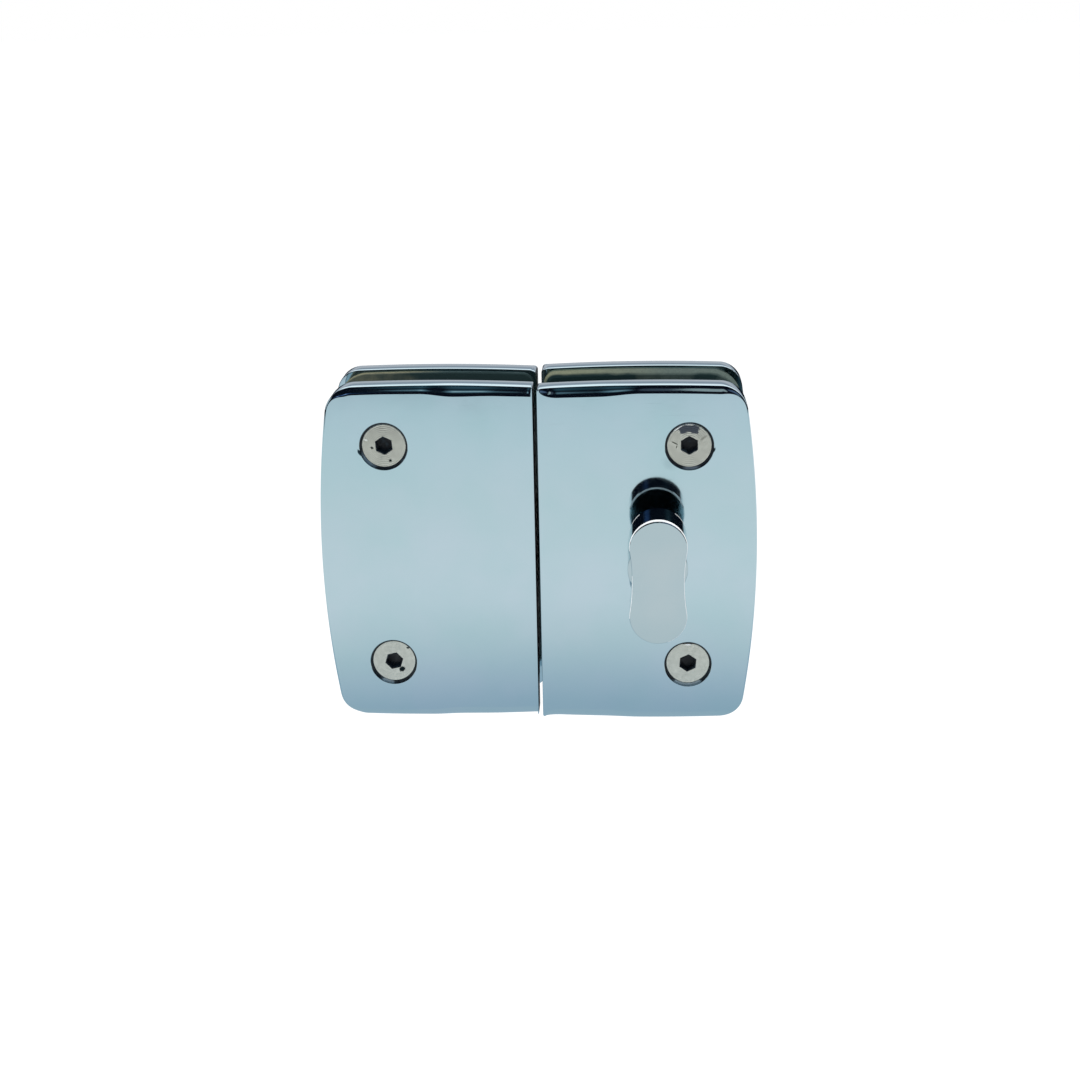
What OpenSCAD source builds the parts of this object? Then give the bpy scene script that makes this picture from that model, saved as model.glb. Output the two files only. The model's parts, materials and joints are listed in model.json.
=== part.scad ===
// Glass door lock: a clamped keeper half and a clamped lock half with a thumbturn.
// Millimetres. X runs along the door, Y from the thumbturn side to the back, Z up.
// The origin is the middle of the seam between the halves, in the middle plane of the glass.

/* [Overall] */

// Width of one half at mid height
half_w = 58.8; // [57:0.2:62]
// Height of the plates at their middle
plate_h = 95.2; // [93:0.2:98]
// Gap between the two halves
seam = 1.2; // [0.8:0.1:3]
// Thickness of the glass that the halves clamp
glass_t = 12; // [12:0.5:13]

/* [Plates] */

// Thickness of each cover plate
plate_t = 8; // [7.6:0.1:9]
// Radius of the bowed outer end
side_r = 280; // [250:5:400]
// Radius of the slightly bowed top and bottom edges
top_r = 600; // [500:10:1200]
// Radius of the two outer corners in the outline
corner_r = 5.8; // [4.5:0.1:8]
// Radius of the two corners at the seam in the outline
seam_corner_r = 1.2; // [0.6:0.1:2]
// Radius of the polished round along the rim
edge_r = 2.6; // [1.5:0.1:3.2]
// Flat worn on the upright edges at the seam
edge_break = 0.35; // [0.2:0.05:0.8]

/* [Gaskets] */

// Thickness of each gasket in the keeper half
keeper_gasket_t = 1; // [0.8:0.1:1.6]
// Thickness of each gasket in the lock half
lock_gasket_t = 2.7; // [2.6:0.1:3.2]
// Distance from the plate's rim to the gasket's rim
gasket_inset = 0.8; // [0.6:0.1:1.5]
// Bevel along the rim of the thick gaskets
lock_gasket_bevel = 1.4; // [0.6:0.1:1.8]
// Bevel along the rim of the thin gaskets
keeper_gasket_bevel = 0.4; // [0.2:0.1:0.6]
// Corner radius of the gaskets at the seam
gasket_seam_r = 3.2; // [2.4:0.1:4]

/* [Glass cut-out] */

// Room between the case's outer end and the glass
notch_side_room = 1.6; // [1:0.1:2.5]
// Room between the case and the glass above and below
notch_end_room = 1.5; // [1:0.1:2.5]
// Inner corner radius of the cut-out
notch_r = 6; // [4:0.5:8]

/* [Clamp screws] */

// Distance of the screws from the case's outer end
screw_side = 7; // [6:0.1:9]
// Distance of the screws from the case's upper and lower edges
screw_end = 5.4; // [5:0.1:7]
// Nominal diameter of the screw
screw_d = 6; // [6:0.1:6]
// Diameter of the countersunk head
head_d = 12; // [11.4:0.1:12.2]
// Straight land on the rim of the head
head_land = 0.4; // [0.2:0.1:0.6]
// Width of the hexagon socket across its flats
hex_af = 4; // [4:0.1:4]
// Depth of the hexagon socket
hex_t = 2.4; // [2:0.1:2.6]
// Room between the head and the wall of its recess
recess_room = 0.5; // [0.3:0.1:0.8]
// Depth of the recess above the head
recess_t = 1; // [0.6:0.1:1.4]
// How much wider than the screw its clearance holes are
hole_play = 0.6; // [0.4:0.1:1]
// Depth that the keeper half's screws bite into the back plate
keeper_bite = 4; // [3.5:0.5:6]
// Depth that the lock half's screws bite into the back plate
lock_bite = 5.6; // [4:0.1:6]

/* [Thumbturn] */

// Distance of the thumbturn's axis from the middle of the seam
knob_x = 32.5; // [32:0.1:33]
// Length of the waisted head
knob_len = 34; // [33:0.2:36]
// Width of the head at its round ends
knob_w = 15.1; // [14.6:0.1:15.4]
// Depth of the hollow in each side of the head
waist_in = 0.75; // [0.4:0.05:1.2]
// Thickness of the head
knob_t = 11.4; // [10:0.1:12]
// Bevel on the head's rims
knob_bevel = 0.5; // [0.3:0.05:0.8]
// Diameter of the neck between the plate and the head
neck_d = 16; // [15.4:0.1:17]
// Length of the neck
neck_l = 9.4; // [8.5:0.1:10]
// Diameter of the journals that turn in the plates
journal_d = 12; // [11.6:0.1:12.4]

/* [Drive and bolt] */

// Side of the square spindle
square = 6; // [5.8:0.1:6.2]
// Crank radius of the drive pin
crank_r = 8.5; // [8.4:0.05:8.6]
// Diameter of the drive pin
pin_d = 4; // [3.8:0.1:4.2]
// Height of the bolt's head
bolt_h = 22; // [20:0.5:23]
// Thickness of the bolt's head
bolt_t = 8; // [7.4:0.1:8.2]
// Height of the bolt's forked tail
tail_h = 26.8; // [26:0.2:28]
// Thickness of the forked tail
tail_t = 6.6; // [6:0.1:6.8]

/* [Case and keeper block] */

// Height of the case and of the keeper block
case_h = 73; // [72:0.5:74]
// Distance of their outer end from the middle of the seam
case_x = 48; // [47.8:0.1:48.4]
// Corner radius of their outer end
case_r = 4; // [2:0.5:5]
// Thickness of the case's cover
cover_t = 2; // [1.8:0.1:2]

/* [Hidden] */

// Facets of the ordinary rounds and of the large rim arcs when they are drawn.
$fn = 64;
fine = 720;
// A little more than nothing, so that cutters pass their faces.
eps = 0.01;
// Reach of the cutters past the part.
reach = 20;

// Fits.
run_gap = 0.06;
fixed_gap = 0.03;
seat_gap = 0.05;
case_gap = 0.2;
slide_gap = 0.1;
stop_gap = 0.18;

// A corner's round is this much larger than one that only touches the curves it joins.
// It crosses them at a shallow angle, so that no faces coincide.
corner_step = 0.01;

// Colours.
chrome_c = [0.72, 0.78, 0.82];
steel_c = [0.72, 0.71, 0.67];
brass_c = [0.72, 0.58, 0.32];
gasket_c = [0.16, 0.19, 0.17];
nylon_c = [0.86, 0.85, 0.80];
dark_c = [0.25, 0.25, 0.27];

// Plans of the rim: centres of the outer arc, of the top arc and of the arc that joins them.
side_c = [seam / 2 + half_w - side_r, 0];
top_c = [seam / 2 + half_w / 2, plate_h / 2 - top_r];
function between(a, ra, b, rb, d) = (ra * ra - rb * rb + d * d) / (2 * d);
function meet(a, ra, b, rb) =
    let (d = norm(b - a))
    let (along = between(a, ra, b, rb, d))
    let (off = sqrt(ra * ra - along * along))
    let (u = (b - a) / d)
    a + u * along + [-u[1], u[0]] * off;
corner_a = meet(side_c, side_r - corner_r, top_c, top_r - corner_r);
corner_b = meet(top_c, top_r - corner_r, side_c, side_r - corner_r);
corner_c = corner_a[1] > corner_b[1] ? corner_a : corner_b;
function direction(v) = atan2(v[1], v[0]);
corner_from = direction(corner_c - side_c);
corner_to = direction(corner_c - top_c);
function seam_corner(r, inset) =
    let (x = seam / 2 + inset + r)
    let (dx = x - top_c[0])
    [x, top_c[1] + sqrt(pow(top_r - inset - r, 2) - dx * dx)];

// Slots between the plates.
keeper_slot = glass_t + 2 * keeper_gasket_t;
lock_slot = glass_t + 2 * lock_gasket_t;
keeper_face = keeper_slot / 2 + plate_t;
lock_face = lock_slot / 2 + plate_t;

// Cut-out of the glass and places of the screws, from the case.
notch_x = case_x + notch_side_room;
notch_h = case_h + 2 * notch_end_room;
screw_x = case_x - screw_side;
screw_z = case_h / 2 - screw_end;

// Clamp screw.
head_cone = (head_d - screw_d) / 2;
hole_d = screw_d + hole_play;
recess_d = head_d + 2 * recess_room;
keeper_screw_l = keeper_slot + plate_t - recess_t + keeper_bite;
lock_screw_l = lock_slot + plate_t - recess_t + lock_bite;
tap_d = screw_d + 2 * seat_gap;
tap_over = 1;
screw_chamfer = 0.6;

// Waisted head: end circles, their centres and the arcs that hollow the sides.
waist_w = knob_w - 2 * waist_in;
end_r = knob_w / 2;
end_z = knob_len / 2 - end_r;
waist_r = (pow(waist_w / 2, 2) + pow(end_z, 2) - pow(end_r, 2)) / (knob_w - waist_w);
waist_c = waist_w / 2 + waist_r;
waist_z = end_z * waist_r / (waist_r + end_r);
neck_gap = 0.2;

// Journal parts, from the plate's face inwards.
groove_deep = 0.7;
groove_d = journal_d - 2 * groove_deep;
clip_wide = 3.3;
clip_t = 1;
clip_d = groove_d + 2 * clip_wide;
clip_room = 1.4;
clip_pocket_d = clip_d + 2 * clip_room;
clip_pocket_t = 2.2;
clip_mouth = 6;
clip_lug_d = 2.6;
clip_lug_turn = 36;
clip_hole_d = 1.3;
groove_w = clip_t + 2 * seat_gap;
clip_in = 0.9;
bush_wall = 1;
bush_d = journal_d + 2 * bush_wall;
journal_in = 0.2;
socket_floor = 3.8;
spindle_slack = 0.2;

// Release turn in the back plate.
release_d = 21;
release_t = 1.9;
release_sink = 0.2;
release_gap = 0.1;
coin_w = 2.2;
coin_t = 1.1;
coin_l = 15;

// Grub screw in the neck.
grub_d = 4;
grub_in = 0.77;
grub_l = neck_d / 2 - square / 2 - fixed_gap - grub_in;
grub_hex = 2;
grub_hex_t = 1.6;
grub_y = -lock_face - neck_l / 2;

// Case.
case_t = lock_slot - 2 * case_gap;
block_t = keeper_slot - 2 * case_gap;
case_end = seam / 2 + 0.6;
case_chamfer = 0.5;
cover_front = case_t / 2;
cover_back = cover_front - cover_t;
cover_r = 3;
cover_edge = 3.2;
cover_side = 1;
cover_x = case_end + cover_edge;
cover_end = case_x - cover_side;
cover_screw_in = 3.6;
cover_screw_back = 4;
cover_screw_x = [cover_x + cover_screw_in, cover_end - cover_screw_back];
cover_screw_out = 2.85;
cover_screw_edge = 2.6;
cover_screw_d = 3;
cover_head_d = 5.6;
cover_screw_l = 7;
cover_hex = 2;
cover_hex_t = 1;

// Bolt: it stands back from the case's end, and its throw comes from the crank.
bolt_sink = 0.6;
bolt_x = case_end + bolt_sink;
bolt_throw = 2 * crank_r * sin(45);
head_l = 17;
bolt_chamfer = 0.8;
shoulder_x = bolt_x + head_l;
case_wall = 2.32;
cavity_end = case_x - case_wall;
tail_x = cavity_end - stop_gap;
fork_w = square * sqrt(2) + 1.1;
pin_slack = 0.35;
pin_x = knob_x + crank_r * sin(45);
notch_w = pin_d + 2 * pin_slack;
notch_floor = crank_r + pin_d / 2 + 0.4;
tail_front = tail_t - bolt_t / 2;
floor_y = bolt_t / 2 + slide_gap;
cavity_x = shoulder_x - bolt_throw - stop_gap;
cavity_h = tail_h + 2 * slide_gap + 0.1;
cover_screw_z = cavity_h / 2 + cover_screw_out;
cover_z = cover_screw_z + cover_screw_edge;
floor_bore_d = square * sqrt(2) + 0.7;

// Drive cam and its washer.
washer_t = 0.5;
washer_wide = 1.5;
washer_d = journal_d + 2 * washer_wide;
cam_front = cover_back - washer_t - seat_gap;
cam_back = tail_front + 0.35;
cam_boss_end = cover_front - 0.2;
cam_hub_r = journal_d / 2 + 1.5;
cam_pin_r = pin_d / 2 + 1.8;
pin_end = -floor_y + 0.5;
web_turn = asin((cam_hub_r - cam_pin_r) / crank_r);

// Keeper pocket and its liner.
pocket_gap = 0.8;
liner_t = 1.1;
pocket_end = 1.88;
liner_depth = bolt_throw - bolt_x + pocket_end + liner_t - case_end;
liner_in_h = bolt_h + 2 * pocket_gap;
liner_in_t = bolt_t + 2 * 0.7;
liner_chamfer = 0.6;

// Hexagon sockets as the screws were left, from point-up, anticlockwise from the front.
hex_keeper_upper = 7;
hex_keeper_lower = -17;
hex_lock_upper = 2;
hex_lock_lower = -5;

// A plan drawn in X and Z with its height towards the front is stood up.
module stand()
{
    rotate([90, 0, 0])
    children();
}

// Half section of a rim from its axis outwards, with a round or a bevel at its upper edge.
module rim_section(r, t, cut, rounded, past)
{
    if (rounded)
    {
        translate([0, -past])
        square([r, t - cut + past]);
        translate([0, -past])
        square([r - cut, t + 2 * past]);
        translate([r - cut, t - cut])
        circle(cut, $fn = 48);
    }
    else
    {
        polygon([[0, -past], [r, -past], [r, t - cut], [r - cut, t], [r - cut, t + past], [0, t + past]]);
    }
}

// Disc with the rim's section, centred on one of the outline's arcs.
module rim_disc(c, r, t, cut, rounded)
{
    translate([c[0], c[1], 0])
    rotate_extrude($fn = fine)
    rim_section(r, t, cut, rounded, 0);
}

// What comes off a square corner of the outline, between two directions from the corner's centre.
module corner_cut(c, r, from, to, t, cut, rounded)
{
    past = 2;
    outer = r + corner_step;
    edge = rounded ? cut - 2 * corner_step : cut;
    translate([c[0], c[1], 0])
    rotate([0, 0, from])
    rotate_extrude(angle = to - from)
    difference()
    {
        translate([outer - edge, -past / 2])
        square([edge + reach, t + past]);
        rim_section(outer, t, edge, rounded, past);
    }
}

// Long bar from the seam outwards, bevelled along its upright edge at the seam.
module seam_bar(inset, t, bevel)
{
    x = seam / 2 + inset;
    far = 2 * half_w;
    translate([0, plate_h, 0])
    rotate([90, 0, 0])
    linear_extrude(2 * plate_h)
    polygon([[x, 0], [x, t - bevel], [x + bevel, t], [far, t], [far, 0]]);
}

// Top, bottom and bowed end of a half, with every corner left square.
module half_core(inset, t, cut, rounded, bevel)
{
    intersection()
    {
        rim_disc(side_c, side_r - inset, t, cut, rounded);
        rim_disc(top_c, top_r - inset, t, cut, rounded);
        rim_disc([top_c[0], -top_c[1]], top_r - inset, t, cut, rounded);
        seam_bar(inset, t, bevel);
    }
}

// Half blank lying on its inner face, its outer corners rounded with the rim's section.
module half_blank(inset, t, cut, rounded, bevel)
{
    difference()
    {
        half_core(inset, t, cut, rounded, bevel);
        for (s = [0, 1])
        mirror([0, s, 0])
        corner_cut(corner_c, corner_r - inset, corner_from, corner_to, t, cut, rounded);
    }
}

// Corners at the seam: their centre comes from the radius and the inset.
module seam_corner_cuts(r, inset, t, cut)
{
    c = seam_corner(r, inset);
    for (s = [0, 1])
    mirror([0, s, 0])
    corner_cut(c, r, direction(c - top_c), 180, t, cut, false);
}

// Cover plate of one half.
module plate_blank()
{
    difference()
    {
        half_blank(0, plate_t, edge_r, true, edge_break);
        seam_corner_cuts(seam_corner_r, 0, plate_t, 0);
    }
}

// Places a child at both clamp screws.
module at_screws()
{
    for (s = [-1, 1])
    translate([screw_x, s * screw_z, 0])
    children();
}

// Recess, countersink and clearance hole for one screw, lying on the plate's inner face.
module screw_seat()
{
    under = plate_t - recess_t;
    d = head_d + 2 * seat_gap;
    cone = (d - hole_d) / 2;
    translate([0, 0, under])
    cylinder(d = recess_d, h = recess_t + eps);
    translate([0, 0, under - head_land])
    cylinder(d = d, h = head_land + eps);
    translate([0, 0, under - head_land - cone])
    cylinder(d1 = hole_d, d2 = d, h = cone);
    translate([0, 0, -eps])
    cylinder(d = hole_d, h = plate_t);
}

// Tapped blind hole for one screw, from the back plate's inner face.
module tap_hole(slot, length)
{
    bite = length - (slot + plate_t - recess_t);
    translate([0, 0, -eps])
    cylinder(d = tap_d, h = bite + tap_over);
}

module front_plate()
{
    difference()
    {
        plate_blank();
        at_screws()
        screw_seat();
    }
}

module back_plate(slot, length)
{
    difference()
    {
        plate_blank();
        at_screws()
        tap_hole(slot, length);
    }
}

// Countersunk clamp screw with its hexagon socket, its head's top at zero.
module clamp_screw(length, turn)
{
    head = head_d / 2;
    shank = screw_d / 2;
    under = head_land + head_cone;
    difference()
    {
        rotate_extrude()
        polygon([[0, 0], [head, 0], [head, -head_land], [shank, -under],
                 [shank, screw_chamfer - length], [shank - screw_chamfer, -length], [0, -length]]);
        rotate([0, 0, 90 + turn])
        translate([0, 0, -hex_t])
        cylinder(d = hex_af / cos(30), h = hex_t + eps, $fn = 6);
    }
}

module placed_screw(face, z, length, turn)
{
    stand()
    translate([screw_x, z, face - recess_t])
    clamp_screw(length, turn);
}

// Plan of the cut-out that the glass has around the case.
module notch_plan()
{
    translate([-reach, -notch_h / 2])
    square([reach + notch_x - notch_r, notch_h]);
    translate([notch_x - 2 * notch_r, notch_r - notch_h / 2])
    square([2 * notch_r, notch_h - 2 * notch_r]);
    for (s = [-1, 1])
    translate([notch_x - notch_r, s * (notch_h / 2 - notch_r)])
    circle(notch_r);
}

// Gasket around the cut-out, lying on the plate, its glass side up.
module gasket(t, bevel)
{
    difference()
    {
        half_blank(gasket_inset, t, bevel, false, bevel);
        seam_corner_cuts(gasket_seam_r, gasket_inset, t, bevel);
        translate([0, 0, -1])
        linear_extrude(t + 2)
        notch_plan();
    }
}

// Plan of the case and of the keeper block.
module case_plan()
{
    translate([case_end, -case_h / 2])
    square([case_x - case_r - case_end, case_h]);
    translate([case_x - 2 * case_r, case_r - case_h / 2])
    square([2 * case_r, case_h - 2 * case_r]);
    for (s = [-1, 1])
    translate([case_x - case_r, s * (case_h / 2 - case_r)])
    circle(case_r);
}

// Bevels on the long edges at the seam end, for a block of the thickness given.
module end_bevels(t)
{
    for (s = [-1, 1])
    translate([case_end, 0, s * t / 2])
    rotate([0, 45, 0])
    cube([case_chamfer * sqrt(2), case_h + 2, case_chamfer * sqrt(2)], center = true);
}

// Case and block blank, centred on the glass plane, with the clamp screws' holes.
module case_blank(t)
{
    difference()
    {
        translate([0, 0, -t / 2])
        linear_extrude(t)
        case_plan();
        at_screws()
        cylinder(d = hole_d, h = t + 2, center = true);
        end_bevels(t);
    }
}

// Box centred on the bolt's line, from one X to another.
module bar(x0, x1, h, y0, y1)
{
    translate([x0, y0, -h / 2])
    cube([x1 - x0, y1 - y0, h]);
}

module keeper_pocket()
{
    t = liner_t + fixed_gap;
    h = liner_in_h + 2 * t;
    y = liner_in_t / 2 + t;
    bar(case_end - 1, case_end + liner_depth + fixed_gap, h, -y, y);
}

module keeper_block()
{
    color(brass_c)
    mirror([1, 0, 0])
    difference()
    {
        stand()
        case_blank(block_t);
        keeper_pocket();
    }
}

// Plan of the liner's inside, seen from above, with a flared mouth.
module liner_plan()
{
    y = liner_in_t / 2;
    mouth = case_end + liner_chamfer;
    out = y + liner_chamfer + 1;
    floor_x = case_end + liner_depth - liner_t;
    polygon([[case_end - 1, -out], [mouth, -y], [floor_x, -y],
             [floor_x, y], [mouth, y], [case_end - 1, out]]);
}

module keeper_liner()
{
    h = liner_in_h + 2 * liner_t;
    y = liner_in_t / 2 + liner_t;
    color(nylon_c)
    mirror([1, 0, 0])
    difference()
    {
        bar(case_end, case_end + liner_depth, h, -y, y);
        linear_extrude(liner_in_h, center = true)
        liner_plan();
    }
}

module keeper_front_plate()
{
    color(chrome_c)
    mirror([1, 0, 0])
    stand()
    translate([0, 0, keeper_slot / 2])
    front_plate();
}

module keeper_back_plate()
{
    color(chrome_c)
    mirror([1, 0, 0])
    mirror([0, 1, 0])
    stand()
    translate([0, 0, keeper_slot / 2])
    back_plate(keeper_slot, keeper_screw_l);
}

module keeper_front_gasket()
{
    color(gasket_c)
    mirror([1, 0, 0])
    mirror([0, 1, 0])
    stand()
    translate([0, 0, -keeper_slot / 2])
    gasket(keeper_gasket_t, keeper_gasket_bevel);
}

module keeper_back_gasket()
{
    color(gasket_c)
    mirror([1, 0, 0])
    stand()
    translate([0, 0, -keeper_slot / 2])
    gasket(keeper_gasket_t, keeper_gasket_bevel);
}

module keeper_upper_screw()
{
    color(steel_c)
    mirror([1, 0, 0])
    placed_screw(keeper_face, screw_z, keeper_screw_l, -hex_keeper_upper);
}

module keeper_lower_screw()
{
    color(steel_c)
    mirror([1, 0, 0])
    placed_screw(keeper_face, -screw_z, keeper_screw_l, -hex_keeper_lower);
}

// Bore for a bush and pocket for a clip, on the thumbturn's axis of a plate.
module journal_bores()
{
    translate([knob_x, 0, -eps])
    cylinder(d = bush_d + 2 * fixed_gap, h = plate_t + 2 * eps);
    translate([knob_x, 0, -eps])
    cylinder(d = clip_pocket_d, h = clip_pocket_t + eps);
}

module lock_front_plate()
{
    color(chrome_c)
    stand()
    translate([0, 0, lock_slot / 2])
    difference()
    {
        front_plate();
        journal_bores();
    }
}

module lock_back_plate()
{
    color(chrome_c)
    mirror([0, 1, 0])
    stand()
    translate([0, 0, lock_slot / 2])
    difference()
    {
        back_plate(lock_slot, lock_screw_l);
        journal_bores();
        translate([knob_x, 0, plate_t - release_sink - release_t - release_gap])
        cylinder(d = release_d + 4 * release_gap, h = plate_t);
    }
}

module lock_front_gasket()
{
    color(gasket_c)
    mirror([0, 1, 0])
    stand()
    translate([0, 0, -lock_slot / 2])
    gasket(lock_gasket_t, lock_gasket_bevel);
}

module lock_back_gasket()
{
    color(gasket_c)
    stand()
    translate([0, 0, -lock_slot / 2])
    gasket(lock_gasket_t, lock_gasket_bevel);
}

module lock_upper_screw()
{
    color(steel_c)
    placed_screw(lock_face, screw_z, lock_screw_l, hex_lock_upper);
}

module lock_lower_screw()
{
    color(steel_c)
    placed_screw(lock_face, -screw_z, lock_screw_l, hex_lock_lower);
}

// Plan of the case's cover.
module cover_plan(grow)
{
    w = cover_end - cover_x + 2 * grow;
    h = 2 * cover_z + 2 * grow;
    r = cover_r + grow;
    translate([cover_x - grow, r - h / 2])
    square([w, h - 2 * r]);
    translate([cover_x - grow + r, -h / 2])
    square([w - 2 * r, h]);
    for (x = [cover_x - grow + r, cover_end + grow - r])
    for (s = [-1, 1])
    translate([x, s * (h / 2 - r)])
    circle(r);
}

// Places a child at the cover's screws.
module at_cover_screws()
{
    for (x = cover_screw_x)
    for (s = [-1, 1])
    translate([x, s * cover_screw_z, 0])
    children();
}

module lock_case()
{
    mouth_h = bolt_h + 2 * slide_gap;
    color(brass_c)
    difference()
    {
        stand()
        case_blank(case_t);
        stand()
        translate([0, 0, cover_back])
        linear_extrude(cover_t + 1)
        cover_plan(slide_gap);
        stand()
        translate([0, 0, cover_back - cover_screw_l])
        at_cover_screws()
        cylinder(d = cover_screw_d + 2 * seat_gap, h = cover_screw_l + 1);
        bar(case_end - 1, cavity_x + 1, mouth_h, -floor_y, floor_y);
        bar(cavity_x, cavity_end, cavity_h, -cover_back - eps, floor_y);
        stand()
        translate([knob_x, 0, -case_t])
        cylinder(d = floor_bore_d, h = case_t);
    }
}

module case_cover()
{
    color(steel_c)
    stand()
    difference()
    {
        translate([0, 0, cover_back])
        linear_extrude(cover_t)
        cover_plan(0);
        translate([knob_x, 0, cover_back - 1])
        cylinder(d = journal_d + 2 * run_gap, h = cover_t + 2);
        translate([0, 0, cover_back - eps])
        at_cover_screws()
        cover_screw_cut();
    }
}

// Clearance for one small countersunk screw in the cover.
module cover_screw_cut()
{
    d = cover_head_d + 2 * seat_gap;
    bore = cover_screw_d + 2 * slide_gap;
    cone = (d - bore) / 2;
    cylinder(d = bore, h = cover_t + 1);
    translate([0, 0, cover_t + eps - cone])
    cylinder(d1 = bore, d2 = d, h = cone);
    translate([0, 0, cover_t])
    cylinder(d = d, h = 1);
}

module cover_screws()
{
    cone = (cover_head_d - cover_screw_d) / 2;
    color(dark_c)
    stand()
    translate([0, 0, cover_front])
    at_cover_screws()
    difference()
    {
        union()
        {
            translate([0, 0, -cone])
            cylinder(d1 = cover_screw_d, d2 = cover_head_d, h = cone);
            translate([0, 0, -cover_screw_l])
            cylinder(d = cover_screw_d, h = cover_screw_l - cone / 2);
        }
        translate([0, 0, -cover_hex_t])
        cylinder(d = cover_hex / cos(30), h = cover_hex_t + 1, $fn = 6);
    }
}

// Bolt: a solid head, and a fork around the spindle with the drive pin's notch in its lower arm.
module dead_bolt()
{
    edge = bolt_chamfer * sqrt(2);
    color(steel_c)
    difference()
    {
        union()
        {
            bar(bolt_x, shoulder_x, bolt_h, -bolt_t / 2, bolt_t / 2);
            bar(shoulder_x - eps, tail_x, tail_h, -tail_front, bolt_t / 2);
        }
        for (s = [-1, 1])
        translate([bolt_x, s * bolt_t / 2, 0])
        rotate([0, 0, 45])
        cube([edge, edge, 2 * bolt_h], center = true);
        for (s = [-1, 1])
        translate([bolt_x, 0, s * bolt_h / 2])
        rotate([0, 45, 0])
        cube([edge, 2 * bolt_t, edge], center = true);
        stand()
        translate([knob_x, 0, -bolt_t])
        cylinder(d = fork_w, h = 2 * bolt_t);
        bar(knob_x, tail_x + 1, fork_w, -bolt_t, bolt_t);
        translate([pin_x - notch_w / 2, -bolt_t, -notch_floor])
        cube([notch_w, 2 * bolt_t, notch_floor]);
    }
}

// Square bar or socket on the thumbturn's axis, between two heights of the standing frame.
module square_bar(side, z0, z1)
{
    translate([knob_x - side / 2, -side / 2, z0])
    cube([side, side, z1 - z0]);
}

// Web from the cam's hub to the drive pin's boss, tangent to both.
module cam_plan()
{
    c = cos(web_turn);
    s = sin(web_turn);
    circle(cam_hub_r);
    translate([crank_r, 0])
    circle(cam_pin_r);
    polygon([
        [cam_hub_r * s, cam_hub_r * c], [crank_r + cam_pin_r * s, cam_pin_r * c],
        [crank_r + cam_pin_r * s, -cam_pin_r * c], [cam_hub_r * s, -cam_hub_r * c]
    ]);
}

module drive_cam()
{
    color(steel_c)
    stand()
    difference()
    {
        union()
        {
            translate([knob_x, 0, cam_back])
            rotate([0, 0, -45])
            linear_extrude(cam_front - cam_back)
            cam_plan();
            translate([knob_x, 0, cam_back])
            cylinder(d = journal_d, h = cam_boss_end - cam_back);
            translate([pin_x, -crank_r * sin(45), pin_end])
            cylinder(d = pin_d, h = cam_back - pin_end + 1);
        }
        square_bar(square + run_gap, cam_back - 1, cam_boss_end + 1);
    }
}

module friction_washer()
{
    color(dark_c)
    stand()
    translate([knob_x, 0, cover_back - washer_t])
    difference()
    {
        cylinder(d = washer_d, h = washer_t);
        translate([0, 0, -1])
        cylinder(d = journal_d + 2 * slide_gap, h = washer_t + 2);
    }
}

module spindle()
{
    front = lock_face + neck_l + socket_floor - spindle_slack;
    back = lock_face - release_sink - release_t - spindle_slack;
    color(steel_c)
    stand()
    square_bar(square, -back, front);
}

// Plan of the waisted head: two round ends and the straight block between them.
module waisted_head(t, bevel)
{
    for (s = [-1, 1])
    translate([0, s * end_z, 0])
    head_end(t, bevel);
    difference()
    {
        translate([-end_r, -waist_z, 0])
        cube([knob_w, 2 * waist_z, t]);
        for (s = [-1, 1])
        translate([s * waist_c, 0, 0])
        waist_cutter(t, bevel);
    }
}

// Round end of the head, bevelled on both rims.
module head_end(t, bevel)
{
    rotate_extrude()
    polygon([[0, 0], [end_r - bevel, 0], [end_r, bevel], [end_r, t - bevel], [end_r - bevel, t], [0, t]]);
}

// Disc that hollows the waist, wider at both faces so that the bevel follows the hollow.
module waist_cutter(t, bevel)
{
    r = waist_r;
    over = bevel + 1;
    rotate_extrude($fn = 360)
    polygon([[0, -1], [r + over, -1], [r, bevel], [r, t - bevel], [r + over, t + 1], [0, t + 1]]);
}

module thumbturn_knob()
{
    under = lock_face + neck_gap;
    head = lock_face + neck_l;
    inner = lock_slot / 2 + journal_in;
    color(chrome_c)
    stand()
    difference()
    {
        union()
        {
            translate([knob_x, 0, head])
            waisted_head(knob_t, knob_bevel);
            translate([knob_x, 0, under])
            cylinder(d = neck_d, h = head - under + 1);
            translate([knob_x, 0, inner])
            cylinder(d = journal_d, h = under - inner + 1);
        }
        translate([knob_x, 0, lock_slot / 2 + clip_in - seat_gap])
        groove_cut();
        square_bar(square + run_gap, 0, head + socket_floor);
        translate([knob_x, 0, -grub_y])
        rotate([90, 0, 0])
        cylinder(d = grub_d + 2 * fixed_gap, h = neck_d);
    }
}

// Groove for a clip around a journal.
module groove_cut()
{
    difference()
    {
        cylinder(d = journal_d + 2, h = groove_w);
        translate([0, 0, -1])
        cylinder(d = groove_d, h = groove_w + 2);
    }
}

// Retaining clip: an open ring with two lugs at its mouth.
module clip()
{
    r = groove_d / 2 + seat_gap;
    lug = clip_d / 2 - clip_lug_d / 2;
    difference()
    {
        cylinder(d = clip_d, h = clip_t);
        translate([0, 0, -1])
        cylinder(r = r, h = clip_t + 2);
        translate([0, -clip_mouth / 2, -1])
        cube([clip_d, clip_mouth, clip_t + 2]);
        for (s = [-1, 1])
        translate([lug * cos(clip_lug_turn), s * lug * sin(clip_lug_turn), -1])
        cylinder(d = clip_hole_d, h = clip_t + 2);
    }
}

module knob_clip()
{
    color(dark_c)
    stand()
    translate([knob_x, 0, lock_slot / 2 + clip_in])
    clip();
}

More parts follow.
